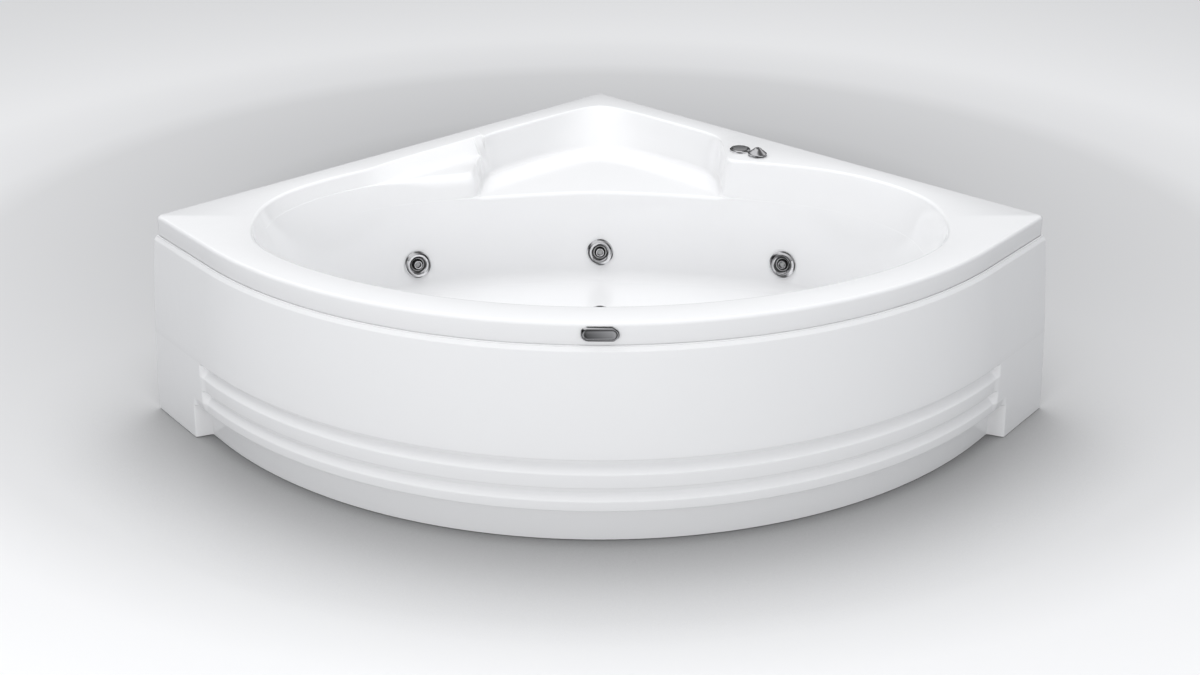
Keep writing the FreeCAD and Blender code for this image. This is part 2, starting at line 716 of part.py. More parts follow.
def air_knob():
    return turned([(0, -16.0), (5.0, -16.0), (5.0, 3.6), (23.0, 3.6), (25.0, 5.0), (25.0, 7.0), (22.0, 10.0),
                   (13.0, 17.5), (9.0, 21.0), (5.0, 22.5), (0, 22.8)])


def deck_controls():
    button, air = deck_frame(button_place), deck_frame(air_place)
    save("button_housing", moved(button_housing(), button))
    save("air_button", moved(air_button(), button))
    save("air_control_body", moved(air_control_body(), air))
    save("air_knob", moved(air_knob(), air))


# ---- overflow, drain and trap ----
def overflow_parts():
    frame = wall_frame(-90.0, overflow_depth)
    body = turned([(5.0 + fit_gap, 3.5), (30.0, 3.5), (30.0, 1.4), (20.0, 0.7), (20.0, -22.0), (24.0, -22.0),
                   (24.0, -52.0), (0, -52.0), (0, -48.0), (20.0, -48.0), (20.0, -24.0), (16.0, -20.0),
                   (16.0, -2.0), (5.0 + fit_gap, -2.0)])
    for turn in (0.6, 2.5, 3.8, 5.6):
        hole = Vector(11.0 * math.cos(turn), 11.0 * math.sin(turn), 0)
        body = body.cut(moved(rod(4.5, -6.0, 6.0), aim(hole, Vector(0, 0, 1))))
    centre = frame.multVec(Vector(0, 0, -36.0))
    down = Vector(0, 0, -1)
    body = moved(body, frame).fuse(moved(pipe_stub(19.0, pipe_outer, 20.0, 62.0), aim(centre, down)))
    body = body.cut(moved(rod(pipe_inner, 10.0, 62.0), aim(centre, down)))
    save("overflow_body", body.removeSplitter())
    knob = turned([(0, -18.0), (5.0, -18.0), (5.0, 4.2), (26.0, 4.2), (31.0, 7.0), (31.0, 13.0), (28.0, 17.0),
                   (14.0, 19.0), (0, 19.5)])
    save("overflow_knob", moved(knob, frame))
    top = centre + Vector(0, 0, -30.0)
    low = Vector(top.x, top.y, overflow_join_z)
    pipe = bent_pipe([top, low, place(0.0, drain_d + 44.0, overflow_join_z)], pipe_outer, pipe_inner, 34.0)
    save("overflow_pipe", pipe)


def drain_parts():
    spot = upright((0.0, drain_d), floor_z)
    flange = turned([(23.0, 1.0), (25.0, 2.6), (35.0, 1.0), (35.0, 0.0), (25.5, 0.0), (25.5, -34.0),
                     (22.0, -34.0), (22.0, 0.0)])
    hub = pipe_stub(9.0, 5.0 + fit_gap, -34.0, -22.0)
    arms = []
    for k in range(3):
        arm = Part.makeBox(16.0, 3.0, 12.0, Vector(7.5, -1.5, -34.0))
        arm.rotate(Vector(0, 0, 0), Vector(0, 0, 1), 120.0 * k)
        arms.append(arm)
    save("drain_flange", moved(flange.fuse([hub] + arms).removeSplitter(), spot))
    plug = turned([(0, -60.0), (5.0, -60.0), (5.0, 1.0), (20.0, 1.0), (21.0, 3.2), (30.0, 3.2), (30.0, 5.0),
                   (22.0, 8.0), (0, 9.0)])
    save("drain_plug", moved(plug, spot))
    trap = turned([(25.5, -20.0), (30.0, -20.0), (30.0, -66.0), (42.0, -72.0), (42.0, -138.0),
                   (34.0, -146.0), (0, -146.0), (0, -142.0), (33.0, -142.0), (38.5, -137.0),
                   (38.5, -74.0), (25.5, -66.0)])
    forwards = aim(Vector(0, 0, overflow_join_z - floor_z), Vector(0, -1, 0))
    sideways = aim(Vector(0, 0, outlet_z - floor_z), Vector(-1, 0, 0))
    inlet = moved(pipe_stub(19.0, pipe_outer, 26.0, 50.0), forwards)
    outlet = moved(rod(23.0, 36.0, 62.0), sideways)
    trap = trap.fuse([outlet, inlet])
    trap = trap.cut(moved(rod(20.0, 36.0, 63.0), sideways))
    trap = trap.cut(moved(rod(pipe_inner, 20.0, 60.0), forwards))
    save("trap_body", moved(trap.removeSplitter(), spot))
    stops = [(-42.0, drain_d), (-120.0, drain_d), (-120.0, 150.0)]
    save("outlet_pipe", bent_pipe([place(x, d, outlet_z) for x, d in stops], 20.0, 18.0, 34.0))


# ---- suction fitting ----
def suction_parts():
    frame = wall_frame(suction_angle, suction_depth)
    body = turned([(25.0, 3.6), (38.0, 3.6), (38.0, 1.9), (28.0, 0.9), (28.0, -70.0), (0, -70.0), (0, -66.0),
                   (25.0, -66.0)])
    centre = frame.multVec(Vector(0, 0, -44.0))
    down = Vector(0, 0, -1)
    body = moved(body, frame).fuse(moved(pipe_stub(23.0, 20.0, 24.0, 58.0), aim(centre, down)))
    body = body.cut(moved(rod(17.0, 10.0, 58.0), aim(centre, down)))
    save("suction_body", body.removeSplitter())
    grille = turned([(0, 4.0), (37.0, 4.0), (38.0, 5.0), (38.0, 7.0), (32.0, 10.0), (0, 12.0)])
    for ring, count in ((8.0, 6), (16.0, 12), (24.0, 18)):
        grille = ring_of_holes(grille, ring, count, 2.2, 0.0)
    save("suction_grille", moved(grille, frame))
    start = centre + Vector(0, 0, -40.0)
    low = 84.0
    elbow = 160.0
    run = [start, Vector(start.x, start.y, low), place(elbow, pump_d, low), place(elbow, pump_d, pump_z),
           place(62.0, pump_d, pump_z)]
    save("suction_pipe", bent_pipe(run, 20.0, 17.0, 60.0))


# ---- pump ----
def pump_parts():
    # built about Z, then laid along +X with the inlet towards the right
    frame = aim(place(0.0, pump_d, pump_z), Vector(1, 0, 0))
    shaft_bore = 6.0 + fit_gap
    volute = turned([(shaft_bore, -28.0), (60.0, -28.0), (64.0, -24.0), (64.0, 20.0), (58.0, 28.0),
                     (25.0, 30.0), (24.0, 80.0), (20.0, 80.0), (20.0, 24.0), (52.0, 20.0), (52.0, -20.0),
                     (shaft_bore, -20.0)])
    outlet = aim(place(0.0, pump_d, pump_z + 44.0), Vector(0, -1, 0))
    volute = moved(volute, frame).fuse(moved(rod(19.0, 0.0, 95.0), outlet))
    volute = volute.cut(moved(rod(15.0, 0.0, 96.0), outlet)).cut(moved(rod(51.9, -19.9, 19.9), frame))
    save("pump_volute", volute.removeSplitter())
    save("pump_motor", pump_motor(frame, shaft_bore))
    cover = turned([(52.0, -205.0), (56.0, -209.0), (56.0, -250.0), (50.0, -258.0), (0, -258.0), (0, -255.0),
                    (49.0, -255.0), (53.0, -249.0), (53.0, -209.0), (50.0, -205.0)])
    for ring, count in ((14.0, 8), (25.0, 14), (36.0, 20)):
        cover = ring_of_holes(cover, ring, count, 3.0, -268.0)
    save("pump_fan_cover", moved(cover, frame))
    save("pump_shaft", moved(rod(6.0, -244.0, 10.0), frame))
    impeller = pipe_stub(46.0, 6.0, -9.0, -5.0).fuse(pipe_stub(14.0, 6.0, -9.0, 10.0))
    fan = pipe_stub(16.0, 6.0, -243.0, -222.0)
    for k in range(7):
        vane = Part.makeBox(32.0, 3.0, 13.0, Vector(12.0, 2.0, -7.0))
        vane.rotate(Vector(0, 0, 0), Vector(0, 0, 1), 360.0 / 7.0 * k)
        impeller = impeller.fuse(vane)
        blade = Part.makeBox(31.0, 2.4, 19.0, Vector(14.0, -1.2, -242.0))
        blade.rotate(Vector(0, 0, 0), Vector(0, 0, 1), 360.0 / 7.0 * k)
        fan = fan.fuse(blade)
    save("pump_impeller", moved(impeller.removeSplitter(), frame))
    save("pump_fan", moved(fan.removeSplitter(), frame))
    save("pump_base", pump_base(frame))
    box = flat_box(-155.0, -75.0, pump_d - 32.0, pump_d + 32.0, pump_z + 54.0, pump_z + 94.0)
    box = box.makeFillet(5.0, [e for e in box.Edges if abs(e.Vertexes[0].Z - e.Vertexes[-1].Z) > 1.0])
    nipple = moved(rod(4.5, 0.0, 9.0), aim(place(-75.0, pump_d, pump_z + 76.0), Vector(1, 0, 0)))
    save("pump_terminal_box", box.fuse(nipple).removeSplitter())
    gland = turned([(0, 0), (11.0, 0), (11.0, 6.0), (9.0, 7.0), (9.0, 16.0), (7.0, 20.0), (0, 20.0)])
    gland = gland.cut(rod(3.6, 4.0, 21.0))
    save("cable_gland", moved(gland, aim(place(-115.0, pump_d - 32.0, pump_z + 74.0), Vector(0, 1, 0))))


def pump_motor(frame, shaft_bore):
    # finned motor hull with a flat seat for the terminal box
    motor = turned([(shaft_bore, -205.0), (50.0, -205.0), (50.0, -28.0), (shaft_bore, -28.0),
                    (shaft_bore, -40.0), (42.0, -40.0), (42.0, -195.0), (shaft_bore, -195.0)])
    fins = []
    for k in range(24):
        fin = Part.makeBox(6.0, 2.4, 150.0, Vector(49.0, -1.2, -190.0))
        fin.rotate(Vector(0, 0, 0), Vector(0, 0, 1), 15.0 * k)
        fins.append(fin)
    motor = moved(motor.fuse(fins), frame)
    seat = flat_box(-155.0, -75.0, pump_d - 28.0, pump_d + 28.0, pump_z, pump_z + 58.0)
    seat = seat.cut(moved(rod(45.0, -206.0, -27.0), frame))
    below_box = flat_box(-155.0, -75.0, 0.0, 900.0, 0.0, pump_z + 54.0)
    return motor.cut(seat).fuse(seat.common(below_box)).removeSplitter()


def pump_base(frame):
    # plate on the spine tube with two saddles that fit the motor
    top = tube_top + 4.0
    plate = flat_box(-205.0, 35.0, pump_d - 70.0, pump_d + 70.0, tube_top, top)
    for x in (-185.0, -60.0):
        plate = plate.fuse(flat_box(x, x + 24.0, pump_d - 45.0, pump_d + 45.0, top, pump_z - 20.0))
    plate = plate.cut(moved(rod(50.0, -210.0, 40.0), frame))
    plate = plate.cut(moved(rod(55.1, -210.0, -28.0), frame))
    plate = plate.cut(moved(rod(64.0, -28.0, 40.0), frame))
    for spot in plate_screw_spots:
        plate = plate.cut(moved(rod(2.0, -1.0, 5.0), upright(spot, tube_top)))
    return plate.removeSplitter()


save("tub_shell", tub_shell())
save("front_panel", front_panel())
save("trim_cap", trim_cap())
save("base_board", base_board())
frame_tubes()
feet()
save("wall_hangers", wall_hangers())
save("panel_arms", panel_arms())
save("panel_clips", panel_clips())
save("frame_screws", screw_set())
jets()
save("fitting_nuts", fitting_nuts())
water_pipes()
save("pressure_pipe", pressure_pipe())
air_pipes()
deck_controls()
overflow_parts()
drain_parts()
suction_parts()
pump_parts()
print("corner_y", corner_y, "front reach", front_reach, "bow radius", bow_radius)
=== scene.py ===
import bpy, bmesh, json, math
import numpy as np
from mathutils import Matrix, Vector


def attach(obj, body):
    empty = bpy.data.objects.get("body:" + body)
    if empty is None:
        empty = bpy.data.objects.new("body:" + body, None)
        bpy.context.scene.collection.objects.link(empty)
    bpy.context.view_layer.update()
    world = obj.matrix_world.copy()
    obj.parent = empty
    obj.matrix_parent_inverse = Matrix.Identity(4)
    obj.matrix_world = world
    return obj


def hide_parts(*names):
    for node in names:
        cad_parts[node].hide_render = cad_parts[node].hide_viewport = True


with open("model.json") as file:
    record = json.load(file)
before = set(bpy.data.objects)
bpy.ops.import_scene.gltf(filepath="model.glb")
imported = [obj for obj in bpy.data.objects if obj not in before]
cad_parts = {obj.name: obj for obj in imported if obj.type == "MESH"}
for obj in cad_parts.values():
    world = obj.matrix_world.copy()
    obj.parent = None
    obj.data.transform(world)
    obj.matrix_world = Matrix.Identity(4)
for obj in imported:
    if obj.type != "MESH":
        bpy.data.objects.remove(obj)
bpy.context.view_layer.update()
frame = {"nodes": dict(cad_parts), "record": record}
nodes = frame["nodes"]
joints = {joint["name"]: joint for joint in frame["record"]["behaviour"]["joints"]}
scene = bpy.context.scene
print("frame loaded:", len(nodes), "nodes")

# sizes of the tub, with lengths in metres; d is the distance forwards from the wall corner
tub = {
    "side": 1.5, "height": 0.5, "skin": 0.006, "skirt": 0.06, "bandOut": 0.040,
    "endLength": 0.27, "endFlare": math.radians(4.0), "cornerRadius": 0.012, "rimRadius": 0.009,
    "basinDepth": 0.33, "basinMiddle": 1.090, "basinHalf": 0.826, "basinFront": 1.582, "basinBow": 1.095,
    "basinBack": 0.580, "wallBand": 0.070, "deckStart": 0.565, "deckSlope": 0.245,
    "frontDraft": 0.20, "endDraft": 0.40, "wallDraft": 0.30, "deckDraft": 0.18, "backDraft": 0.28,
    "lip": 0.010, "cove": 0.040, "roundness": 18.0,
    "seatHalf": 0.335, "seatMiddle": 0.450, "seatBand": 0.072,
    "seatDepth": 0.10, "seatDraft": 0.12, "seatRoundness": 16.0, "seatCorner": 0.13, "seatCornerGrowth": 4.1,
    "seatEdge": 0.012, "seatCove": 0.018, "seatBlend": 0.022,
    "armrestDepth": 0.04, "armrestEnd": 0.645, "armrestStart": 0.331, "armrestSlope": 0.04,
    "armrestEdge": 0.04, "armrestCove": 0.060, "armrestRoundness": 14.0,
    "wallDepths": (0.18, 0.26), "wallRadius": 0.4, "floorShare": 0.55, "hemRadius": 0.002,
    "underRadii": (0.003, 0.004, 0.012, 0.006, 0.012, 0.006),
    "drainD": 1.400, "buttonPlace": (0.379, 0.567), "airPlace": (0.421, 0.612),
}
# how finely the shell is drawn: denser holds degrees from, degrees to and columns; closest is in radians,
# seatFrom and armrestFrom are sines of a column's angle, and radii, gaps and reaches are in metres
shellMesh = {
    "columns": 400, "denser": ((54.0, 66.0, 40), (114.0, 126.0, 40), (126.0, 152.0, 36)), "closest": 0.0009,
    "arcPoints": 13, "bowPoints": 240, "leastRadius": 0.0005, "underGap": 0.002, "mergeGap": 0.00002,
    "beyond": 50.0, "slight": 1e-3, "seatSearch": (0.3, 1.2), "seatHalvings": 30, "seatFrom": 0.5,
    "armrestFrom": 0.05,
}
root2 = math.sqrt(2.0)
flare = tub["endFlare"]
endU = tub["side"] + tub["endLength"] * math.tan(flare)
bowRadius = (endU - tub["endLength"]) / (math.cos(flare) + math.sin(flare))
bowMiddle = endU - bowRadius * math.cos(flare)
bowD = bowMiddle * root2
frontReach = bowD + bowRadius
cornerY = (frontReach + tub["bandOut"] + tub["cornerRadius"] * (root2 - 1.0)) / 2.0


def place(x, d, z):
    return Vector((x, cornerY - d, z))


def wallPlace(u, v, z):
    # u runs along the right wall and v along the left wall
    return place((u - v) / root2, (u + v) / root2, z)


def addMesh(name, points, faces, smooth=True):
    mesh = bpy.data.meshes.new(name)
    mesh.from_pydata([tuple(p) for p in points], [], faces)
    mesh.validate()
    mesh.polygons.foreach_set("use_smooth", [smooth] * len(mesh.polygons))
    piece = bpy.data.objects.new(name, mesh)
    scene.collection.objects.link(piece)
    return piece


def takeMesh(piece):
    # the evaluated mesh becomes the piece's own, with no modifier left
    bpy.context.view_layer.update()
    graph = bpy.context.evaluated_depsgraph_get()
    mesh = bpy.data.meshes.new_from_object(piece.evaluated_get(graph))
    piece.modifiers.clear()
    piece.data = mesh


def tidyMesh(piece, gap=0.00001, dissolve=True):
    # merged doubles and outward faces
    mesh = bmesh.new()
    mesh.from_mesh(piece.data)
    bmesh.ops.remove_doubles(mesh, verts=mesh.verts, dist=gap)
    if dissolve:
        bmesh.ops.dissolve_degenerate(mesh, edges=mesh.edges, dist=gap)
    bmesh.ops.recalc_face_normals(mesh, faces=mesh.faces)
    mesh.to_mesh(piece.data)
    mesh.free()


def softEdges(piece, degrees=38.0):
    piece.data.polygons.foreach_set("use_smooth", [True] * len(piece.data.polygons))
    piece.data.set_sharp_from_angle(angle=math.radians(degrees))


def drop(*things):
    for thing in things:
        bpy.data.objects.remove(thing, do_unlink=True)


# the camera stands in front of the middle of the bow and looks down into the tub
cameraSettings = {"lens": 42.917, "back": 4.25072, "up": 1.71096, "tilt": 21.780, "shiftY": -0.08125}
cameraData = bpy.data.cameras.new("photoView")
cameraData.lens = cameraSettings["lens"]
cameraData.sensor_width = 36.0
cameraData.shift_y = cameraSettings["shiftY"]
camera = bpy.data.objects.new("photoView", cameraData)
camera.location = (0.0, cornerY - cameraSettings["back"], cameraSettings["up"])
camera.rotation_euler = (math.radians(90.0 - cameraSettings["tilt"]), 0.0, 0.0)
scene.collection.objects.link(camera)
scene.camera = camera


# shader groups of the finishes; each puts out values that vary over the surface
floatKind, colourKind = "NodeSocketFloat", "NodeSocketColor"
fineSpeckle = 60.0
hairline = {"stretch": (1.0, 9.0, 5.0), "turn": (0.3, 0.5, 0.9), "fineness": 14.0, "from": 0.60, "to": 0.70,
            "least": 0.02}
dustPatch = {"scale": 22.0, "detail": 5.0, "rough": 0.65}
# painted reflection: the bands that darken polished metal's colour in place of a mirrored studio
paintedReflectionBands = {"shift": 1.2, "along": 15.0, "turn": (("X", 6.0), ("Y", 1.3), ("Z", 4.0)), "dark": -0.75,
          "bright": 0.55}


def newGroup(name, inputs, outputs):
    group = bpy.data.node_groups.new(name, "ShaderNodeTree")
    for label, kind, value in inputs:
        socket = group.interface.new_socket(label, in_out="INPUT", socket_type=kind)
        if value is not None:
            socket.default_value = value
    for label, kind in outputs:
        group.interface.new_socket(label, in_out="OUTPUT", socket_type=kind)
    return group, group.nodes.new("NodeGroupInput"), group.nodes.new("NodeGroupOutput")


def mathNode(tree, operation, first, second=None):
    node = tree.nodes.new("ShaderNodeMath")
    node.operation = operation
    for index, value in enumerate((first, second)):
        if value is None:
            continue
        if isinstance(value, (int, float)):
            node.inputs[index].default_value = value
        else:
            tree.links.new(value, node.inputs[index])
    return node.outputs[0]


def objectCoords(tree):
    return tree.nodes.new("ShaderNodeTexCoord").outputs["Object"]


def noiseNode(tree, scale, detail, rough=0.5, coords=None):
    node = tree.nodes.new("ShaderNodeTexNoise")
    tree.links.new(coords or objectCoords(tree), node.inputs["Vector"])
    node.inputs["Detail"].default_value = detail
    node.inputs["Roughness"].default_value = rough
    if isinstance(scale, (int, float)):
        node.inputs["Scale"].default_value = scale
    else:
        tree.links.new(scale, node.inputs["Scale"])
    return node.outputs["Fac"]


def makeToneGroup():
    # a slow drift and a fine speckle of the colour
    group, source, sink = newGroup("toneDrift", [
        ("Colour", colourKind, (0.8, 0.8, 0.8, 1.0)), ("Scale", floatKind, 4.0),
        ("Drift", floatKind, 0.04), ("Speckle", floatKind, 0.02)], [("Colour", colourKind)])
    slow = noiseNode(group, source.outputs["Scale"], 3.0)
    fine = noiseNode(group, mathNode(group, "MULTIPLY", source.outputs["Scale"], fineSpeckle), 2.0)
    slow = mathNode(group, "MULTIPLY", mathNode(group, "SUBTRACT", slow, 0.5), source.outputs["Drift"])
    fine = mathNode(group, "MULTIPLY", mathNode(group, "SUBTRACT", fine, 0.5), source.outputs["Speckle"])
    level = mathNode(group, "ADD", mathNode(group, "ADD", slow, fine), 1.0)
    mix = group.nodes.new("ShaderNodeVectorMath")
    mix.operation = "SCALE"
    group.links.new(source.outputs["Colour"], mix.inputs[0])
    group.links.new(level, mix.inputs["Scale"])
    group.links.new(mix.outputs[0], sink.inputs["Colour"])
    return group


def makeWearGroup():
    # hairline scratches and hand smears, as a roughness
    group, source, sink = newGroup("hairlines", [
        ("Roughness", floatKind, 0.2), ("Smear", floatKind, 0.05), ("Scratch", floatKind, 0.1),
        ("Scale", floatKind, 9.0)], [("Roughness", floatKind)])
    stretch = group.nodes.new("ShaderNodeMapping")
    stretch.inputs["Scale"].default_value = hairline["stretch"]
    stretch.inputs["Rotation"].default_value = hairline["turn"]
    group.links.new(objectCoords(group), stretch.inputs["Vector"])
    fine = mathNode(group, "MULTIPLY", source.outputs["Scale"], hairline["fineness"])
    lines = noiseNode(group, fine, 4.0, 0.7, stretch.outputs[0])
    ramp = group.nodes.new("ShaderNodeValToRGB")
    ramp.color_ramp.elements[0].position = hairline["from"]
    ramp.color_ramp.elements[1].position = hairline["to"]
    group.links.new(lines, ramp.inputs["Fac"])
    smear = mathNode(group, "SUBTRACT", noiseNode(group, source.outputs["Scale"], 3.0), 0.5)
    smear = mathNode(group, "MULTIPLY", smear, source.outputs["Smear"])
    mark = mathNode(group, "MULTIPLY", ramp.outputs["Color"], source.outputs["Scratch"])
    total = mathNode(group, "ADD", mathNode(group, "ADD", smear, mark), source.outputs["Roughness"])
    group.links.new(mathNode(group, "MAXIMUM", total, hairline["least"]), sink.inputs["Roughness"])
    return group


def makeDustGroup():
    # dust that settles on the faces that look up
    group, source, sink = newGroup("settledDust", [
        ("Colour", colourKind, (0.5, 0.5, 0.5, 1.0)), ("Dust", colourKind, (0.62, 0.60, 0.56, 1.0)),
        ("Amount", floatKind, 0.3)], [("Colour", colourKind)])
    geometry = group.nodes.new("ShaderNodeNewGeometry")
    split = group.nodes.new("ShaderNodeSeparateXYZ")
    group.links.new(geometry.outputs["Normal"], split.inputs[0])
    upward = mathNode(group, "MAXIMUM", split.outputs["Z"], 0.0)
    patches = noiseNode(group, dustPatch["scale"], dustPatch["detail"], dustPatch["rough"])
    mask = mathNode(group, "MULTIPLY", mathNode(group, "MULTIPLY", upward, patches), source.outputs["Amount"])
    mix = group.nodes.new("ShaderNodeMix")
    mix.data_type = "RGBA"
    group.links.new(mask, mix.inputs["Factor"])
    group.links.new(source.outputs["Colour"], mix.inputs["A"])
    group.links.new(source.outputs["Dust"], mix.inputs["B"])
    group.links.new(mix.outputs["Result"], sink.inputs["Colour"])
    return group


def makePaintedReflectionGroup():
    # painted reflection: dark and bright streaks that follow the surface's direction are painted into the
    # colour, as polished metal shows in a studio
    group, source, sink = newGroup("paintedReflectionStreaks", [
        ("Colour", colourKind, None), ("Amount", floatKind, 0.9)], [("Colour", colourKind)])
    coordinates = group.nodes.new("ShaderNodeTexCoord")
    turn, spot = group.nodes.new("ShaderNodeSeparateXYZ"), group.nodes.new("ShaderNodeSeparateXYZ")
    group.links.new(coordinates.outputs["Normal"], turn.inputs[0])
    group.links.new(coordinates.outputs["Object"], spot.inputs[0])
    level = mathNode(group, "MULTIPLY_ADD", spot.outputs["X"], paintedReflectionBands["along"])
    level.node.inputs[2].default_value = paintedReflectionBands["shift"]
    for axis, factor in paintedReflectionBands["turn"]:
        level = mathNode(group, "ADD", level, mathNode(group, "MULTIPLY", turn.outputs[axis], factor))
    wave = mathNode(group, "SINE", level)
    mask = group.nodes.new("ShaderNodeMapRange")
    group.links.new(wave, mask.inputs["Value"])
    mask.inputs["From Min"].default_value = paintedReflectionBands["dark"]
    mask.inputs["From Max"].default_value = paintedReflectionBands["bright"]
    gap = mathNode(group, "SUBTRACT", 1.0, mask.outputs["Result"])
    keep = mathNode(group, "SUBTRACT", 1.0, mathNode(group, "MULTIPLY", gap, source.outputs["Amount"]))
    scale = group.nodes.new("ShaderNodeVectorMath")
    scale.operation = "SCALE"
    group.links.new(source.outputs["Colour"], scale.inputs[0])
    group.links.new(keep, scale.inputs["Scale"])
    group.links.new(scale.outputs["Vector"], sink.inputs["Colour"])
    return group


toneGroup = makeToneGroup()
paintedReflectionGroup = makePaintedReflectionGroup()
wearGroup = makeWearGroup()
dustGroup = makeDustGroup()


def placeGroup(tree, group, **values):
    node = tree.nodes.new("ShaderNodeGroup")
    node.node_tree = group
    for label, value in values.items():
        if isinstance(value, bpy.types.NodeSocket):
            tree.links.new(value, node.inputs[label])
        else:
            node.inputs[label].default_value = value
    return node


def addBump(tree, shader, height, depth):
    bump = tree.nodes.new("ShaderNodeBump")
    bump.inputs["Strength"].default_value = 1.0
    bump.inputs["Distance"].default_value = depth
    tree.links.new(height, bump.inputs["Height"])
    tree.links.new(bump.outputs["Normal"], shader.inputs["Normal"])


def makeFinish(name, settings):
    material = bpy.data.materials.new(name)
    material.use_nodes = True
    tree = material.node_tree
    shader = tree.nodes["Principled BSDF"]
    shader.inputs["Metallic"].default_value = settings.get("metallic", 0.0)
    shader.inputs["IOR"].default_value = settings.get("ior", 1.5)
    shader.inputs["Coat Weight"].default_value = settings.get("coat", 0.0)
    shader.inputs["Coat Roughness"].default_value = 0.05
    tone = placeGroup(tree, toneGroup, Colour=(*settings["colour"], 1.0),
                      Scale=settings.get("toneScale", 4.0), Drift=settings.get("drift", 0.05),
                      Speckle=settings.get("speckle", 0.03))
    colour = tone.outputs["Colour"]
    if settings.get("dust"):
        dust = placeGroup(tree, dustGroup, Colour=colour, Amount=settings["dust"])
        colour = dust.outputs["Colour"]
    # painted reflection: streaks darken the colour in bands
    if settings.get("paintedReflections"):
        paintedReflectionNode = placeGroup(tree, paintedReflectionGroup, Colour=colour, Amount=settings["paintedReflections"])
        colour = paintedReflectionNode.outputs["Colour"]
    tree.links.new(colour, shader.inputs["Base Color"])
    wear = placeGroup(tree, wearGroup, Roughness=settings["rough"], Smear=settings.get("smear", 0.06),
                      Scratch=settings.get("scratch", 0.05), Scale=settings.get("wearScale", 9.0))
    tree.links.new(wear.outputs["Roughness"], shader.inputs["Roughness"])
    if settings.get("grainDepth"):
        height = noiseNode(tree, settings["grainScale"], settings.get("grainDetail", 2.0))
        addBump(tree, shader, height, settings["grainDepth"])
    return material


def softMin(limits, power):
    return np.sum([limit ** -power for limit in limits], axis=0) ** (-1.0 / power)


def softMax(a, b, spread):
    return 0.5 * (a + b + np.sqrt((a - b) ** 2 + spread ** 2))


def basinReach(angle, depth, grow=0.0):
    across = np.abs(np.cos(angle))
    ahead = -np.sin(angle)
    slight = shellMesh["slight"]
    big = np.full_like(angle, shellMesh["beyond"])
    bow = tub["basinBow"] - tub["frontDraft"] * depth + grow
    offset = tub["basinMiddle"] - (tub["basinFront"] - tub["basinBow"])
    limits = [np.sqrt((ahead * offset) ** 2 - offset ** 2 + bow ** 2) - ahead * offset]
    limits.append((tub["basinHalf"] - tub["endDraft"] * depth + grow) / np.maximum(across, 1e-6))
    wall = (tub["basinMiddle"] - (tub["wallBand"] + tub["wallDraft"] * depth - grow) * root2)
    limits.append(np.where(across - ahead > slight, wall / np.maximum(across - ahead, slight), big))
    lean = tub["deckSlope"] * across - ahead
    deck = tub["basinMiddle"] - tub["deckStart"]
    deck = deck - (tub["deckDraft"] * depth - grow) * math.hypot(1.0, tub["deckSlope"])
    limits.append(np.where(lean > slight, deck / np.maximum(lean, slight), big))
    back = tub["basinMiddle"] - tub["basinBack"] - tub["backDraft"] * depth + grow
    limits.append(np.where(ahead < -slight, back / np.maximum(-ahead, slight), big))
    return softMin(limits, tub["roundness"])


def seatReach(angle, depth):
    # distance from the basin's middle to the far wall of the seat, or a small value beside it
    shrink = tub["seatDraft"] * depth
    side = tub["seatHalf"] - shrink
    corner = tub["seatMiddle"] - (tub["seatBand"] + shrink) * root2
    rounding = tub["seatCorner"] + tub["seatCornerGrowth"] * depth
    nearest, farthest = shellMesh["seatSearch"]
    low, high = np.full_like(angle, nearest), np.full_like(angle, farthest)
    for step in range(shellMesh["seatHalvings"]):
        middle = 0.5 * (low + high)
        x = np.abs(middle * np.cos(angle))
        back = tub["seatMiddle"] - (tub["basinMiddle"] - middle * np.sin(angle))
        gauge = (x / side) ** tub["seatRoundness"]
        far = np.sqrt(x ** 2 + rounding ** 2 * (x ** 2 + back ** 2))
        gauge += np.maximum((far + back) / corner, 0.0) ** tub["seatRoundness"]
        inside = gauge < 1.0
        low, high = np.where(inside, middle, low), np.where(inside, high, middle)
    return np.where(np.sin(angle) > shellMesh["seatFrom"], low, nearest)


def armrestReach(angle, depth):
    band = tub["seatBand"] + tub["armrestSlope"] * depth / tub["armrestDepth"]
    slight = shellMesh["slight"]
    left = np.maximum(-np.cos(angle), slight)
    back = np.sin(angle)
    exitWall = (tub["basinMiddle"] - band * root2) / np.maximum(left + back, slight)
    exitEnd = tub["armrestEnd"] / left
    entry = tub["armrestStart"] / left
    reach = softMin([exitWall, exitEnd], tub["armrestRoundness"])
    return reach, (back > shellMesh["armrestFrom"]) & (np.cos(angle) < 0) & (entry < reach)


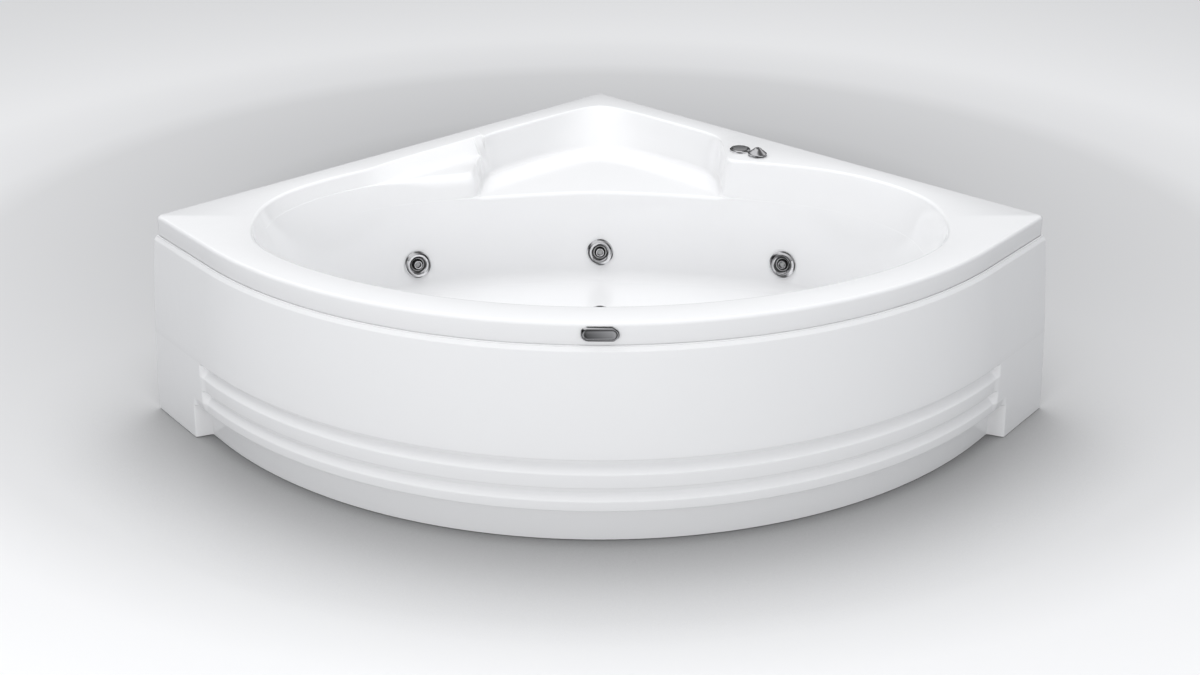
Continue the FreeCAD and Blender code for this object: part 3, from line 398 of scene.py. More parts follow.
def outlinePoints(inset):
    # the rim's corners at the left end, the rear and the right end, then the bow from right to left
    radius = max(tub["cornerRadius"] - inset, shellMesh["leastRadius"])
    tangentU = bowMiddle + (bowRadius - inset) * math.cos(flare)
    tangentV = bowMiddle - (bowRadius - inset) * math.sin(flare)
    endU = tub["side"] + inset * math.tan(flare) - inset / math.cos(flare)
    half = [(inset, inset), (endU, inset), (tangentU, tangentV)]
    corners = [(v, u) for u, v in half[:0:-1]] + half
    points = []
    for i in (1, 2, 3):
        before, here, after = (np.array(corners[k]) for k in (i - 1, i, i + 1))
        u = (before - here) / np.linalg.norm(before - here)
        w = (after - here) / np.linalg.norm(after - here)
        halfTurn = (math.pi - math.acos(float(u @ w))) / 2.0
        reach = radius * math.tan(halfTurn)
        weight = math.cos(halfTurn)
        for t in np.linspace(0.0, 1.0, shellMesh["arcPoints"]):
            bottom = (1 - t) ** 2 + 2 * weight * t * (1 - t) + t ** 2
            top = (1 - t) ** 2 * (here + u * reach) + 2 * weight * t * (1 - t) * here
            top = top + t ** 2 * (here + w * reach)
            points.append(top / bottom)
    for turn in np.linspace(-flare, math.pi / 2.0 + flare, shellMesh["bowPoints"]):
        points.append(np.array([bowMiddle + (bowRadius - inset) * math.cos(turn),
                                bowMiddle + (bowRadius - inset) * math.sin(turn)]))
    points = np.array(points)
    x, d = (points[:, 0] - points[:, 1]) / root2, (points[:, 0] + points[:, 1]) / root2
    return x, d


def rimReach(angle, inset):
    x, d = outlinePoints(inset)
    pointAngle = np.arctan2(tub["basinMiddle"] - d, x) % (2 * math.pi)
    radius = np.hypot(x, tub["basinMiddle"] - d)
    # straight sides are straight in x and d, so the crossing is found on the chord
    order = np.argsort(pointAngle)
    turn, length = pointAngle[order], radius[order]
    a = np.concatenate([turn[-1:] - 2 * math.pi, turn, turn[:1] + 2 * math.pi])
    r = np.concatenate([length[-1:], length, length[:1]])
    k = np.clip(np.searchsorted(a, angle, side="right") - 1, 0, len(a) - 2)
    ax, ay = r[k] * np.cos(a[k]), r[k] * np.sin(a[k])
    bx, by = r[k + 1] * np.cos(a[k + 1]), r[k + 1] * np.sin(a[k + 1])
    return (ax * by - ay * bx) / (np.cos(angle) * (by - ay) - np.sin(angle) * (bx - ax))


# an arc takes up at most this share of the shorter side beside its corner
filletRoom = 0.48


def filletLine(corners, radii, steps):
    # corners is (columns, points, 2); each inner corner becomes an arc, as far as there is room
    out = [corners[:, 0]]
    for i in range(1, corners.shape[1] - 1):
        here = corners[:, i]
        back, ahead = corners[:, i - 1] - here, corners[:, i + 1] - here
        backLength = np.linalg.norm(back, axis=1) + 1e-9
        aheadLength = np.linalg.norm(ahead, axis=1) + 1e-9
        back, ahead = back / backLength[:, None], ahead / aheadLength[:, None]
        cosine = np.clip(np.sum(back * ahead, axis=1), -0.9999, 0.9999)
        halfTurn = (math.pi - np.arccos(cosine)) / 2.0
        room = filletRoom * np.minimum(backLength, aheadLength)
        reach = np.minimum(radii[i] * np.tan(halfTurn), room)
        weight = np.cos(halfTurn)
        for t in np.linspace(0.0, 1.0, steps[i] + 1):
            parts = ((1 - t) ** 2, 2 * weight * t * (1 - t), t ** 2)
            total = parts[0] + parts[1] + parts[2]
            point = parts[0] * (here + back * reach[:, None]) + parts[1][:, None] * here
            point = point + parts[2] * (here + ahead * reach[:, None])
            out.append(point / total[:, None])
    out.append(corners[:, -1])
    return np.stack(out, axis=1)


def columnAngles():
    # even columns, with more of them at the rim's corners and at the walls of the seat
    angles = list(np.linspace(0.0, 2 * math.pi, shellMesh["columns"], endpoint=False))
    x, d = outlinePoints(0.0)
    cornerPoints = 3 * shellMesh["arcPoints"]
    angles += list(np.arctan2(tub["basinMiddle"] - d[:cornerPoints], x[:cornerPoints]) % (2 * math.pi))
    for low, high, count in shellMesh["denser"]:
        angles += list(np.radians(np.linspace(low, high, count)))
    angles = np.unique(np.round(angles, 5))
    keep = [angles[0]]
    for angle in angles[1:]:
        if angle - keep[-1] > shellMesh["closest"]:
            keep.append(angle)
    return np.array(keep)


def shellColumns(angle):
    # the corners of each column, from the basin's floor over the rim and back along the underside
    skin, blend = tub["skin"], tub["seatBlend"]
    arm, ledge, floorDepth = tub["armrestDepth"], tub["seatDepth"], tub["basinDepth"]
    mid, low = tub["wallDepths"]
    basin = {depth: basinReach(angle, depth) for depth in (0.0, arm, ledge, mid, low, floorDepth)}

    def bay(depth):
        return softMax(basin[depth], seatReach(angle, depth), blend)

    def upper(depth):
        current = bay(depth)
        reach, isOpen = armrestReach(angle, depth)
        return np.where(isOpen, softMax(current, np.where(isOpen, reach, 0.0), blend), current)

    outer, inner = rimReach(angle, 0.0), rimReach(angle, skin)
    line = [
        (basin[floorDepth] * tub["floorShare"], -floorDepth), (basin[floorDepth], -floorDepth),
        (basin[low], -low), (basin[mid], -mid), (basin[ledge], -ledge), (bay(ledge), -ledge),
        (bay(arm), -arm), (upper(arm), -arm), (upper(0.0), 0.0),
    ]
    under = [(r + skin, z - skin) for r, z in line[:0:-1]]
    under[0] = (np.minimum(under[0][0], inner - shellMesh["underGap"]), -skin)
    under.append((line[0][0], -floorDepth - skin))
    line += [(outer, 0.0), (outer, -tub["skirt"]), (inner, -tub["skirt"]), (inner, -skin)] + under
    corners = np.stack([np.stack([r, np.full_like(r, z)], axis=1) for r, z in line], axis=1)
    cove, wall, hem = tub["cove"], tub["wallRadius"], tub["hemRadius"]
    radii = [0, cove, wall, wall, tub["seatEdge"], tub["seatCove"], tub["armrestEdge"], tub["armrestCove"],
             tub["lip"], tub["rimRadius"], hem, hem, *tub["underRadii"], wall, wall, cove + skin, 0]
    steps = [0, 8, 1, 1, 5, 5, 5, 4, 6, 6, 2, 2, 1, 1, 3, 2, 3, 2, 1, 1, 6, 0]
    return corners, radii, steps


def frameFrom(origin, outward, across):
    upward = outward.cross(across)
    turn = Matrix((across, upward, outward)).transposed().to_4x4()
    return Matrix.Translation(origin) @ turn


def jointFrame(turnName, tiltName=None):
    turn = joints[turnName]
    outward = Vector(turn["axis"]).normalized()
    across = Vector(joints[tiltName]["axis"]) if tiltName else Vector((0.0, 0.0, 1.0)).cross(outward)
    return frameFrom(Vector(turn["pos_m"]), outward, across.normalized())


jetFrames = [jointFrame("jet_%d_face_turn" % i, "jet_%d_nozzle_tilt" % i) for i in (1, 2, 3)]
overflowFrame = jointFrame("overflow_knob_turn")
drainFrame = Matrix.Translation(place(0.0, tub["drainD"], tub["height"] - tub["basinDepth"]))
buttonFrame = Matrix.Translation(place(*tub["buttonPlace"], tub["height"]))
airFrame = Matrix.Translation(place(*tub["airPlace"], tub["height"]))


def makeShell():
    # one closed skin with the same finish all over; the fittings' openings are only in the CAD
    angle = columnAngles()
    corners, radii, steps = shellColumns(angle)
    line = filletLine(corners, radii, steps)
    columns, rows = line.shape[0], line.shape[1]
    x = line[:, :, 0] * np.cos(angle)[:, None]
    y = cornerY - tub["basinMiddle"] + line[:, :, 0] * np.sin(angle)[:, None]
    z = tub["height"] + line[:, :, 1]
    points = np.stack([x, y, z], axis=2).reshape(-1, 3)
    faces = []
    for i in range(columns):
        j = (i + 1) % columns
        for k in range(rows - 1):
            faces.append((i * rows + k, i * rows + k + 1, j * rows + k + 1, j * rows + k))
    faces.append([i * rows for i in range(columns)])
    faces.append([i * rows + rows - 1 for i in range(columns)][::-1])
    shell = addMesh("bathShell", points, faces)
    tidyMesh(shell, shellMesh["mergeGap"], dissolve=False)
    return shell


shell = makeShell()
print("shell:", len(shell.data.polygons), "faces")

# the front panel is swept along the rim's outline; lengths are in metres
panel = {
    "start": 0.005, "plinthStart": 0.198, "plinthBlend": 0.018, "grooveStart": 0.234, "grooveBlend": 0.020,
    "lowGrooveStart": 0.243, "thickness": 0.0042, "faceEnd": 0.208, "plainInset": 0.0002,
    "coarseStart": 0.025, "coarseEnd": 0.185, "coarsePoints": 8, "fineStart": 0.190, "fineStep": 0.0018,
    "bowPoints": 221, "bowFromWall": 1.0,
}
# its plain face: the shoulder's out and height in mm, the slope, the bend per mm, and the height in mm
# where the bend adds no slope
panelFace = {"shoulder": (12.0, 442.0), "slope": 0.0523, "bend": 0.0001945, "level": 45.0}
panelFaceRows = range(425, 210, -25)


def faceOut(z):
    # the plain face leans out and bends; z and the result are in mm
    startOut, startZ = panelFace["shoulder"]
    level = panelFace["level"]
    bend = 0.5 * panelFace["bend"] * ((startZ - level) ** 2 - (z - level) ** 2)
    return startOut + panelFace["slope"] * (startZ - z) + bend


# out from the rim, height and radius of the corner, in mm, and which start the cut follows
panelLine = [
    (1.5, 444.0, 0.0, "face"), (1.5, 452.2, 0.8, "face"), (3.8, 452.2, 1.2, "face"),
    (*panelFace["shoulder"], 5.0, "face"),
]
panelLine += [(faceOut(z), z, 0.0, "face") for z in panelFaceRows]
panelLine += [
    (37.0, 207.0, 2.4, "groove"),
    (19.0, 202.0, 2.0, "groove"), (19.0, 191.0, 3.0, "groove"), (38.5, 174.0, 5.0, "groove"),
    (39.0, 142.0, 2.4, "lowGroove"), (26.0, 138.0, 2.0, "lowGroove"), (26.0, 126.0, 3.0, "lowGroove"),
    (39.5, 110.5, 5.0, "lowGroove"), (40.0, 88.0, 2.4, "plinth"), (11.7, 83.0, 2.0, "plinth"),
    (11.7, 2.0, 0.0, "plinth"),
]


def lineMesh(name, points, attributes):
    mesh = bpy.data.meshes.new(name)
    mesh.from_pydata([tuple(p) for p in points], [(i, i + 1) for i in range(len(points) - 1)], [])
    for label, values in attributes.items():
        values = np.asarray(values, dtype=np.float32)
        kind = "FLOAT_VECTOR" if values.ndim == 2 else "FLOAT"
        attribute = mesh.attributes.new(label, kind, "POINT")
        attribute.data.foreach_set("vector" if values.ndim == 2 else "value", values.ravel())
    line = bpy.data.objects.new(name, mesh)
    scene.collection.objects.link(line)
    return line


def panelPath():
    # points on the rim's outline from the right wall round to the left wall, with the way outwards
    coarse = np.linspace(panel["coarseStart"], panel["coarseEnd"], panel["coarsePoints"])
    fine = np.arange(panel["fineStart"], tub["endLength"], panel["fineStep"])
    along = np.concatenate([[panel["start"]], coarse, fine])
    u = tub["side"] + along * math.tan(flare)
    right = np.stack([u, along], axis=1)
    turns = np.linspace(-flare, math.pi / 2.0 + flare, panel["bowPoints"])
    bow = np.stack([bowMiddle + bowRadius * np.cos(turns), bowMiddle + bowRadius * np.sin(turns)], axis=1)
    rightWay = np.tile([math.cos(flare), -math.sin(flare)], (len(along), 1))
    bowWay = np.stack([np.cos(turns), np.sin(turns)], axis=1)
    flat = np.concatenate([right, bow, right[::-1, ::-1]])
    way = np.concatenate([rightWay, bowWay, rightWay[::-1, ::-1]])
    fromWall = np.concatenate([along, np.full(len(turns), panel["bowFromWall"]), along[::-1]])
    points = [wallPlace(u, v, 0.0) for u, v in flat]
    origin = wallPlace(0.0, 0.0, 0.0)
    ways = [tuple(wallPlace(u, v, 0.0) - origin) for u, v in way]
    return lineMesh("panelPath", points, {"outward": ways, "fromWall": fromWall})


def panelProfile():
    corners = np.array([[(out / 1000.0, z / 1000.0) for out, z, radius, kind in panelLine]])
    radii = [radius / 1000.0 for out, z, radius, kind in panelLine]
    steps = [6 if radius else 0 for out, z, radius, kind in panelLine]
    line = filletLine(corners, radii, steps)[0]
    kinds = [panelLine[0][3]]
    for row, step in zip(panelLine[1:-1], steps[1:-1]):
        kinds += [row[3]] * (step + 1)
    kinds.append(panelLine[-1][3])
    flat = faceOut(line[:, 1] * 1000.0) / 1000.0 - panel["plainInset"]
    plain = np.where(line[:, 1] > panel["faceEnd"], line[:, 0], flat)
    first = {"face": "grooveStart", "groove": "grooveStart", "lowGroove": "lowGrooveStart",
             "plinth": "plinthStart"}
    start = [panel[first[kind]] for kind in kinds]
    width = [panel["plinthBlend"] if kind == "plinth" else panel["grooveBlend"] for kind in kinds]
    points = [(0.0, 0.0, z) for z in line[:, 1]]
    return lineMesh("panelProfile", points, {"cutOut": line[:, 0], "plainOut": plain, "cutStart": start,
                                             "cutWidth": width})


def newTree(name, inputs):
    tree = bpy.data.node_groups.new(name, "GeometryNodeTree")
    tree.interface.new_socket("Geometry", in_out="INPUT", socket_type="NodeSocketGeometry")
    for label, kind in inputs:
        tree.interface.new_socket(label, in_out="INPUT", socket_type=kind)
    tree.interface.new_socket("Finish", in_out="INPUT", socket_type="NodeSocketMaterial")
    tree.interface.new_socket("Geometry", in_out="OUTPUT", socket_type="NodeSocketGeometry")
    return tree, tree.nodes.new("NodeGroupInput"), tree.nodes.new("NodeGroupOutput")


def endTree(tree, source, sink, geometry):
    realize = tree.nodes.new("GeometryNodeRealizeInstances")
    finish = tree.nodes.new("GeometryNodeSetMaterial")
    tree.links.new(geometry, realize.inputs[0])
    tree.links.new(realize.outputs[0], finish.inputs["Geometry"])
    tree.links.new(source.outputs["Finish"], finish.inputs["Material"])
    tree.links.new(finish.outputs[0], sink.inputs[0])


def growWith(piece, tree, values, last):
    # the tree's inputs are set by identifier; its result, after the last modifier, becomes the piece's mesh
    modifier = piece.modifiers.new(tree.name, "NODES")
    modifier.node_group = tree
    sockets = {item.name: item.identifier for item in tree.interface.items_tree if item.in_out == "INPUT"}
    for label, value in values.items():
        modifier[sockets[label]] = value
    last(piece)
    takeMesh(piece)


def namedField(tree, label, kind="FLOAT"):
    node = tree.nodes.new("GeometryNodeInputNamedAttribute")
    node.data_type = kind
    node.inputs["Name"].default_value = label
    return node.outputs["Attribute"]


def sampleAt(tree, geometry, value, index, kind="FLOAT"):
    node = tree.nodes.new("GeometryNodeSampleIndex")
    node.data_type = kind
    tree.links.new(geometry, node.inputs["Geometry"])
    tree.links.new(value, node.inputs["Value"])
    tree.links.new(index, node.inputs["Index"])
    return node.outputs["Value"]


def pointCount(tree, geometry):
    node = tree.nodes.new("GeometryNodeAttributeDomainSize")
    node.component = "MESH"
    tree.links.new(geometry, node.inputs[0])
    return node.outputs["Point Count"]


def makePanelTree():
    tree, source, sink = newTree("sweepAlongRim", [("Profile", "NodeSocketObject")])
    info = tree.nodes.new("GeometryNodeObjectInfo")
    tree.links.new(source.outputs["Profile"], info.inputs["Object"])
    path, profile = source.outputs["Geometry"], info.outputs["Geometry"]
    rows = pointCount(tree, profile)
    grid = tree.nodes.new("GeometryNodeMeshGrid")
    tree.links.new(pointCount(tree, path), grid.inputs["Vertices X"])
    tree.links.new(rows, grid.inputs["Vertices Y"])
    index = tree.nodes.new("GeometryNodeInputIndex").outputs[0]
    column = mathNode(tree, "FLOOR", mathNode(tree, "DIVIDE", mathNode(tree, "ADD", index, 0.5), rows))
    row = mathNode(tree, "SUBTRACT", index, mathNode(tree, "MULTIPLY", column, rows))
    position = tree.nodes.new("GeometryNodeInputPosition").outputs[0]
    onPath = sampleAt(tree, path, position, column, "FLOAT_VECTOR")
    outward = sampleAt(tree, path, namedField(tree, "outward", "FLOAT_VECTOR"), column, "FLOAT_VECTOR")
    fromWall = sampleAt(tree, path, namedField(tree, "fromWall"), column)
    level = sampleAt(tree, profile, position, row, "FLOAT_VECTOR")
    cut, plain, start, width = (sampleAt(tree, profile, namedField(tree, label), row)
                                for label in ("cutOut", "plainOut", "cutStart", "cutWidth"))
    share = mathNode(tree, "DIVIDE", mathNode(tree, "SUBTRACT", fromWall, start), width)
    ease = tree.nodes.new("ShaderNodeMapRange")
    ease.interpolation_type = "SMOOTHSTEP"
    tree.links.new(share, ease.inputs["Value"])
    tree.links.new(plain, ease.inputs["To Min"])
    tree.links.new(cut, ease.inputs["To Max"])
    push = tree.nodes.new("ShaderNodeVectorMath")
    push.operation = "MULTIPLY_ADD"
    tree.links.new(outward, push.inputs[0])
    tree.links.new(ease.outputs[0], push.inputs[1])
    tree.links.new(onPath, push.inputs[2])
    lift = tree.nodes.new("ShaderNodeVectorMath")
    tree.links.new(push.outputs[0], lift.inputs[0])
    tree.links.new(level, lift.inputs[1])
    shape = tree.nodes.new("GeometryNodeSetPosition")
    tree.links.new(grid.outputs["Mesh"], shape.inputs["Geometry"])
    tree.links.new(lift.outputs[0], shape.inputs["Position"])
    endTree(tree, source, sink, shape.outputs[0])
    return tree


def thicken(piece):
    wall = piece.modifiers.new("wall", "SOLIDIFY")
    wall.thickness = panel["thickness"]
    wall.offset = -1.0
    wall.use_rim = True


def makePanel(finish):
    path, profile = panelPath(), panelProfile()
    path.name = path.data.name = "frontPanel"
    growWith(path, makePanelTree(), {"Profile": profile, "Finish": finish}, thicken)
    drop(profile)
    tidyMesh(path)
    softEdges(path, 35.0)
    return path


# lathe-turned pieces; profiles are (radius, height) in millimetres about the piece's own axis,
# and points nearer than latheGap, in metres, become one
latheGap = 0.000004


def lathe(name, profile, spot, rounding, steps, arcSteps=4):
    corners = np.array([[(r / 1000.0, z / 1000.0) for r, z in profile]])
    radii = [0.0] + [rounding / 1000.0] * (len(profile) - 2) + [0.0]
    line = filletLine(corners, radii, [0] + [arcSteps] * (len(profile) - 2) + [0])[0]
    rows = len(line)
    points = []
    for i in range(steps):
        turn = 2.0 * math.pi * i / steps
        points += [(r * math.cos(turn), r * math.sin(turn), z) for r, z in line]
    faces = []
    for i in range(steps):
        j = (i + 1) % steps
        faces += [(i * rows + k, i * rows + k + 1, j * rows + k + 1, j * rows + k) for k in range(rows - 1)]
    piece = addMesh(name, points, faces)
    tidyMesh(piece, latheGap)
    piece.data.transform(spot)
    softEdges(piece)
    return piece


def settle(piece, body, node):
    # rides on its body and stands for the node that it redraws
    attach(piece, body)
    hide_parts(node)


# finishes; colours are linear, lengths in metres
finishes = {
    "acrylic": {"colour": (0.84, 0.84, 0.845), "rough": 0.12, "ior": 1.49, "coat": 0.35, "drift": 0.012,
                "speckle": 0.004, "smear": 0.05, "scratch": 0.02, "wearScale": 3.0, "grainScale": 26.0,
                "grainDepth": 0.00022, "grainDetail": 1.0},
    # bright chrome's colour carries painted reflection streaks
    "brightChrome": {"colour": (0.82, 0.82, 0.83), "metallic": 1.0, "rough": 0.06, "paintedReflections": 0.86,
                     "drift": 0.02, "smear": 0.05, "scratch": 0.05, "wearScale": 24.0, "grainScale": 60.0,
                     "grainDepth": 0.00002},
    "satinChrome": {"colour": (0.40, 0.40, 0.405), "metallic": 1.0, "rough": 0.30, "drift": 0.03,
                    "smear": 0.08, "scratch": 0.10, "wearScale": 40.0, "grainScale": 900.0,
    "grainDepth": 0.00003}, "board": {"colour": (0.40, 0.28, 0.16), "rough": 0.62, "drift": 0.35,
              "speckle": 0.55, "toneScale": 7.0, "dust": 0.35, "grainScale": 260.0, "grainDepth": 0.0005,
    "grainDetail": 4.0}, "powderCoat": {"colour": (0.030, 0.032, 0.035), "rough": 0.42, "drift": 0.15,
                   "speckle": 0.10, "dust": 0.22, "grainScale": 1400.0, "grainDepth": 0.00008,
    "grainDetail": 1.0}, "zinc": {"colour": (0.56, 0.57, 0.58), "metallic": 1.0, "rough": 0.34, "drift": 0.22,
             "speckle": 0.12, "toneScale": 30.0, "scratch": 0.14, "wearScale": 30.0, "grainScale": 700.0,
             "grainDepth": 0.00004},
    "pressurePipe": {"colour": (0.72, 0.72, 0.70), "rough": 0.36, "drift": 0.07, "speckle": 0.04,
                     "dust": 0.30, "scratch": 0.10, "grainScale": 300.0, "grainDepth": 0.00006},
    "airPipe": {"colour": (0.48, 0.52, 0.56), "rough": 0.34, "drift": 0.07, "speckle": 0.04, "dust": 0.30,
                "grainScale": 300.0, "grainDepth": 0.00006},
    "wastePlastic": {"colour": (0.20, 0.205, 0.21), "rough": 0.40, "drift": 0.10, "speckle": 0.06,
                     "dust": 0.32, "grainScale": 500.0, "grainDepth": 0.00008},
    "blackPlastic": {"colour": (0.016, 0.016, 0.017), "rough": 0.38, "drift": 0.12, "speckle": 0.10,
                     "dust": 0.16, "grainScale": 900.0, "grainDepth": 0.00010},
    "nozzlePlastic": {"colour": (0.005, 0.005, 0.005), "rough": 0.45, "ior": 1.3, "drift": 0.10,
                      "speckle": 0.05, "grainScale": 700.0, "grainDepth": 0.00005},
    "motorEnamel": {"colour": (0.045, 0.065, 0.090), "rough": 0.34, "coat": 0.2, "drift": 0.14,
                    "speckle": 0.06, "dust": 0.30, "grainScale": 120.0, "grainDepth": 0.00030},
    "groundSteel": {"colour": (0.58, 0.58, 0.59), "metallic": 1.0, "rough": 0.22, "drift": 0.06,
                    "speckle": 0.05, "scratch": 0.2, "wearScale": 60.0, "grainScale": 1200.0,
"grainDepth": 0.00003}, }
looks = {name: makeFinish(name, settings) for name, settings in finishes.items()}
slotLooks = {
    "white_acrylic": "acrylic", "bright_chrome": "brightChrome", "satin_chrome": "satinChrome",
    "plywood": "board", "painted_steel": "powderCoat", "zinc_steel": "zinc", "pipe_plastic": "pressurePipe",
    "air_pipe_plastic": "airPipe", "grey_plastic": "wastePlastic", "black_plastic": "blackPlastic",
    "motor_paint": "motorEnamel", "shaft_steel": "groundSteel",
}
print("finishes:", len(looks))

shell.data.materials.clear()
shell.data.materials.append(looks["acrylic"])
settle(shell, "tub", "tub_shell")

frontPanel = makePanel(looks["acrylic"])
settle(frontPanel, "tub", "front_panel")
print("front panel:", len(frontPanel.data.polygons), "faces")

slotOf = {part["node"]: part["material_slot"] for part in frame["record"]["subparts"]}
for name, node in nodes.items():
    node.data.materials.clear()
    node.data.materials.append(looks[slotLooks[slotOf[name]]])

# jets: a chrome bezel around a dark socket, with a ball nozzle whose bore is closed 14 mm in;
# the ring starts at ringRadius and ringHeight, in metres
jet = {
    "ringRadius": 0.0076, "ringHeight": 0.0052,
    "bezel": [(27.0, 2.6), (20.6, 2.6), (20.6, 7.2), (23.0, 9.3), (27.5, 10.0), (32.5, 8.2), (35.9, 4.4),
              (35.9, 3.4), (33.6, 3.4), (27.0, 2.6)],
    "ball": [(0.0, -22.0), (5.0, -22.0), (9.0, -20.5), (13.0, -17.0), (16.4, -10.5), (16.9, -6.0),
             (16.2, -1.2), (14.0, 3.2), (11.5, 4.9), (11.4, 8.6), (10.6, 10.4), (8.6, 10.4), (7.5, 9.4),
             (7.4, -2.0), (5.0, -3.0), (5.0, -14.0), (0.0, -14.0)],
}
for number, spot in enumerate(jetFrames, 1):
    bezel = lathe("jetBezel%d" % number, jet["bezel"], spot, 0.9, 72)
    bezel.data.materials.append(looks["brightChrome"])
    settle(bezel, "jet_%d_face" % number, "jet_%d_face" % number)
    ball = lathe("jetNozzle%d" % number, jet["ball"], spot, 0.8, 56)
    # the ball is dark inside and out; only its front ring is polished
    ball.data.materials.append(looks["nozzlePlastic"])
    ball.data.materials.append(looks["brightChrome"])
    back = spot.inverted()
    for face in ball.data.polygons:
        here = back @ face.center
        face.material_index = int(here.z > jet["ringHeight"] and here.xy.length > jet["ringRadius"])
    settle(ball, "jet_%d_nozzle" % number, "jet_%d_nozzle" % number)
print("jets done")

# controls on the right deck
controls = {
    "buttonRing": [(21.6, 0.5), (21.6, 5.4), (23.0, 6.9), (25.0, 6.9), (28.0, 4.0), (28.0, 0.05), (15.5, 0.0),
                   (15.5, -48.0), (4.6, -48.0), (4.6, -51.0), (5.2, -52.0), (4.4, -54.0), (4.2, -56.0),
                   (2.5, -56.0), (2.5, -44.0), (12.0, -44.0), (12.0, -22.0), (8.1, -22.0), (8.1, 0.5),
                   (21.6, 0.5)],
    "airBase": [(23.0, 0.1), (24.9, 0.1), (24.9, 2.1), (23.0, 2.9), (5.1, 2.9), (5.1, -20.0), (12.0, -20.0),
                (12.0, -52.0), (6.0, -52.0), (6.0, -70.0), (8.0, -70.0), (8.0, -55.0), (15.4, -55.0),
                (15.4, 0.1), (23.0, 0.1)],
    "buttonCap": [(0.0, -15.0), (7.9, -15.0), (7.9, 4.2), (20.9, 4.2), (20.9, 6.8), (19.6, 8.2), (10.0, 9.0),
                  (0.0, 9.2)],
    "knob": [(0.0, -15.0), (4.9, -15.0), (4.9, 3.6), (23.0, 3.6), (25.0, 5.0), (25.0, 7.2), (22.0, 10.0),
             (13.0, 17.0), (9.0, 20.8), (5.0, 22.4), (0.0, 22.8)],
}
cap = lathe("buttonCap", controls["buttonCap"], buttonFrame, 1.2, 72)
cap.data.materials.append(looks["satinChrome"])
settle(cap, "air_button", "air_button")
knob = lathe("airKnob", controls["knob"], airFrame, 1.6, 72)
knob.data.materials.append(looks["brightChrome"])
settle(knob, "air_knob", "air_knob")
deckRings = (("buttonRing", buttonFrame, "button_housing"), ("airBase", airFrame, "air_control_body"))
for name, spot, node in deckRings:
    ring = lathe(name, controls[name], spot, 0.7, 72)
    ring.data.materials.append(looks[slotLooks[slotOf[node]]])
    settle(ring, "tub", node)
print("controls done")

# overflow knob and drain plug
waste = {
    "overflowKnob": [(0.0, -17.0), (4.9, -17.0), (4.9, 4.4), (26.0, 4.4), (30.8, 7.2), (30.8, 12.6),
                     (28.0, 16.8), (14.0, 18.8), (0.0, 19.4)],
    "drainPlug": [(0.0, -59.0), (4.9, -59.0), (4.9, 1.0), (19.8, 1.0), (20.8, 3.3), (29.6, 3.3), (29.9, 4.8),
                  (22.0, 7.8), (8.0, 8.8), (0.0, 8.9)],
}
turnKnob = lathe("overflowKnob", waste["overflowKnob"], overflowFrame, 1.8, 72)
turnKnob.data.materials.append(looks["brightChrome"])
settle(turnKnob, "overflow_knob", "overflow_knob")
plug = lathe("drainPlug", waste["drainPlug"], drainFrame, 1.0, 72)
plug.data.materials.append(looks["brightChrome"])
settle(plug, "drain_plug", "drain_plug")
print("waste fittings done")

# the trim cap is a pill with a raised edge; each row is inset from the outline and height over its back,
# and lengths are in mm
trim = {
    "half": 24.0, "radius": 16.0, "drop": 23.0, "ahead": 7.0, "deep": 12.0,
    "rows": [(0.0, 0.0), (0.0, 7.2), (0.5, 9.2), (1.8, 10.9), (3.4, 11.7), (4.8, 11.8), (5.8, 11.4),
             (6.4, 11.0), (7.4, 10.9), (10.0, 11.1), (13.0, 11.2)],
    "arcSteps": 24,
}


def makeTrim():
    rows, points = [], []
    for inset, high in trim["rows"]:
        row = []
        for side, first in ((1.0, -90.0), (-1.0, 90.0)):
            for k in range(trim["arcSteps"] + 1):
                turn = math.radians(first + 180.0 * k / trim["arcSteps"])
                reach = trim["radius"] - inset
                x = side * trim["half"] + reach * math.cos(turn)
                d = frontReach * 1000.0 + trim["ahead"] - trim["deep"] + high
                z = tub["height"] * 1000.0 - trim["drop"] + reach * math.sin(turn)
                row.append(len(points))
                points.append(place(x / 1000.0, d / 1000.0, z / 1000.0))
        rows.append(row)
    faces = []
    for low, high in zip(rows, rows[1:]):
        count = len(low)
        faces += [(low[k], low[(k + 1) % count], high[(k + 1) % count], high[k]) for k in range(count)]
    faces += [rows[0], rows[-1]]
    piece = addMesh("trimCap", points, faces)
    tidyMesh(piece)
    softEdges(piece)
    return piece


trimCap = makeTrim()
trimCap.data.materials.append(looks["brightChrome"])
settle(trimCap, "tub", "trim_cap")
print("trim done")

# floor, light and background
studio = {
    "floorSize": 30.0, "worldColour": (0.93, 0.95, 0.98, 1.0), "worldStrength": 0.57,
    # painted reflection: the darker grey the floor shows in glossy reflections
    "paintedReflectedFloor": (0.30, 0.30, 0.305),
    # painted shade and light: floor tones darker near the tub and lighter far off, and a painted glow for the
    # camera
    "shadeReach": 0.36, "paintedGlowReach": (0.9, 2.7), "paintedGlow": 0.30, "shadeToneMiddle": (0.0, 0.9, 0.0),
    "shadeToneReach": 4.0, "paintedShadeTones": [(0.9, 0.38), (1.4, 0.52), (2.0, 0.53), (2.2, 0.62), (2.85, 0.66)],
    "blueTint": 1.008, "shadeSamples": 8, "floorRough": 0.35,
    "lamps": {
        "overhead": {"at": (-0.3, 0.2, 3.6), "to": (0.0, -0.1, 0.3), "size": (5.5, 4.5), "power": 114.0,
                     "mirrored": False},
        "front": {"at": (-0.4, -4.7, 1.7), "to": (0.0, 0.0, 0.2), "size": (7.5, 2.0), "power": 96.0,
                  "mirrored": False},
    },
}
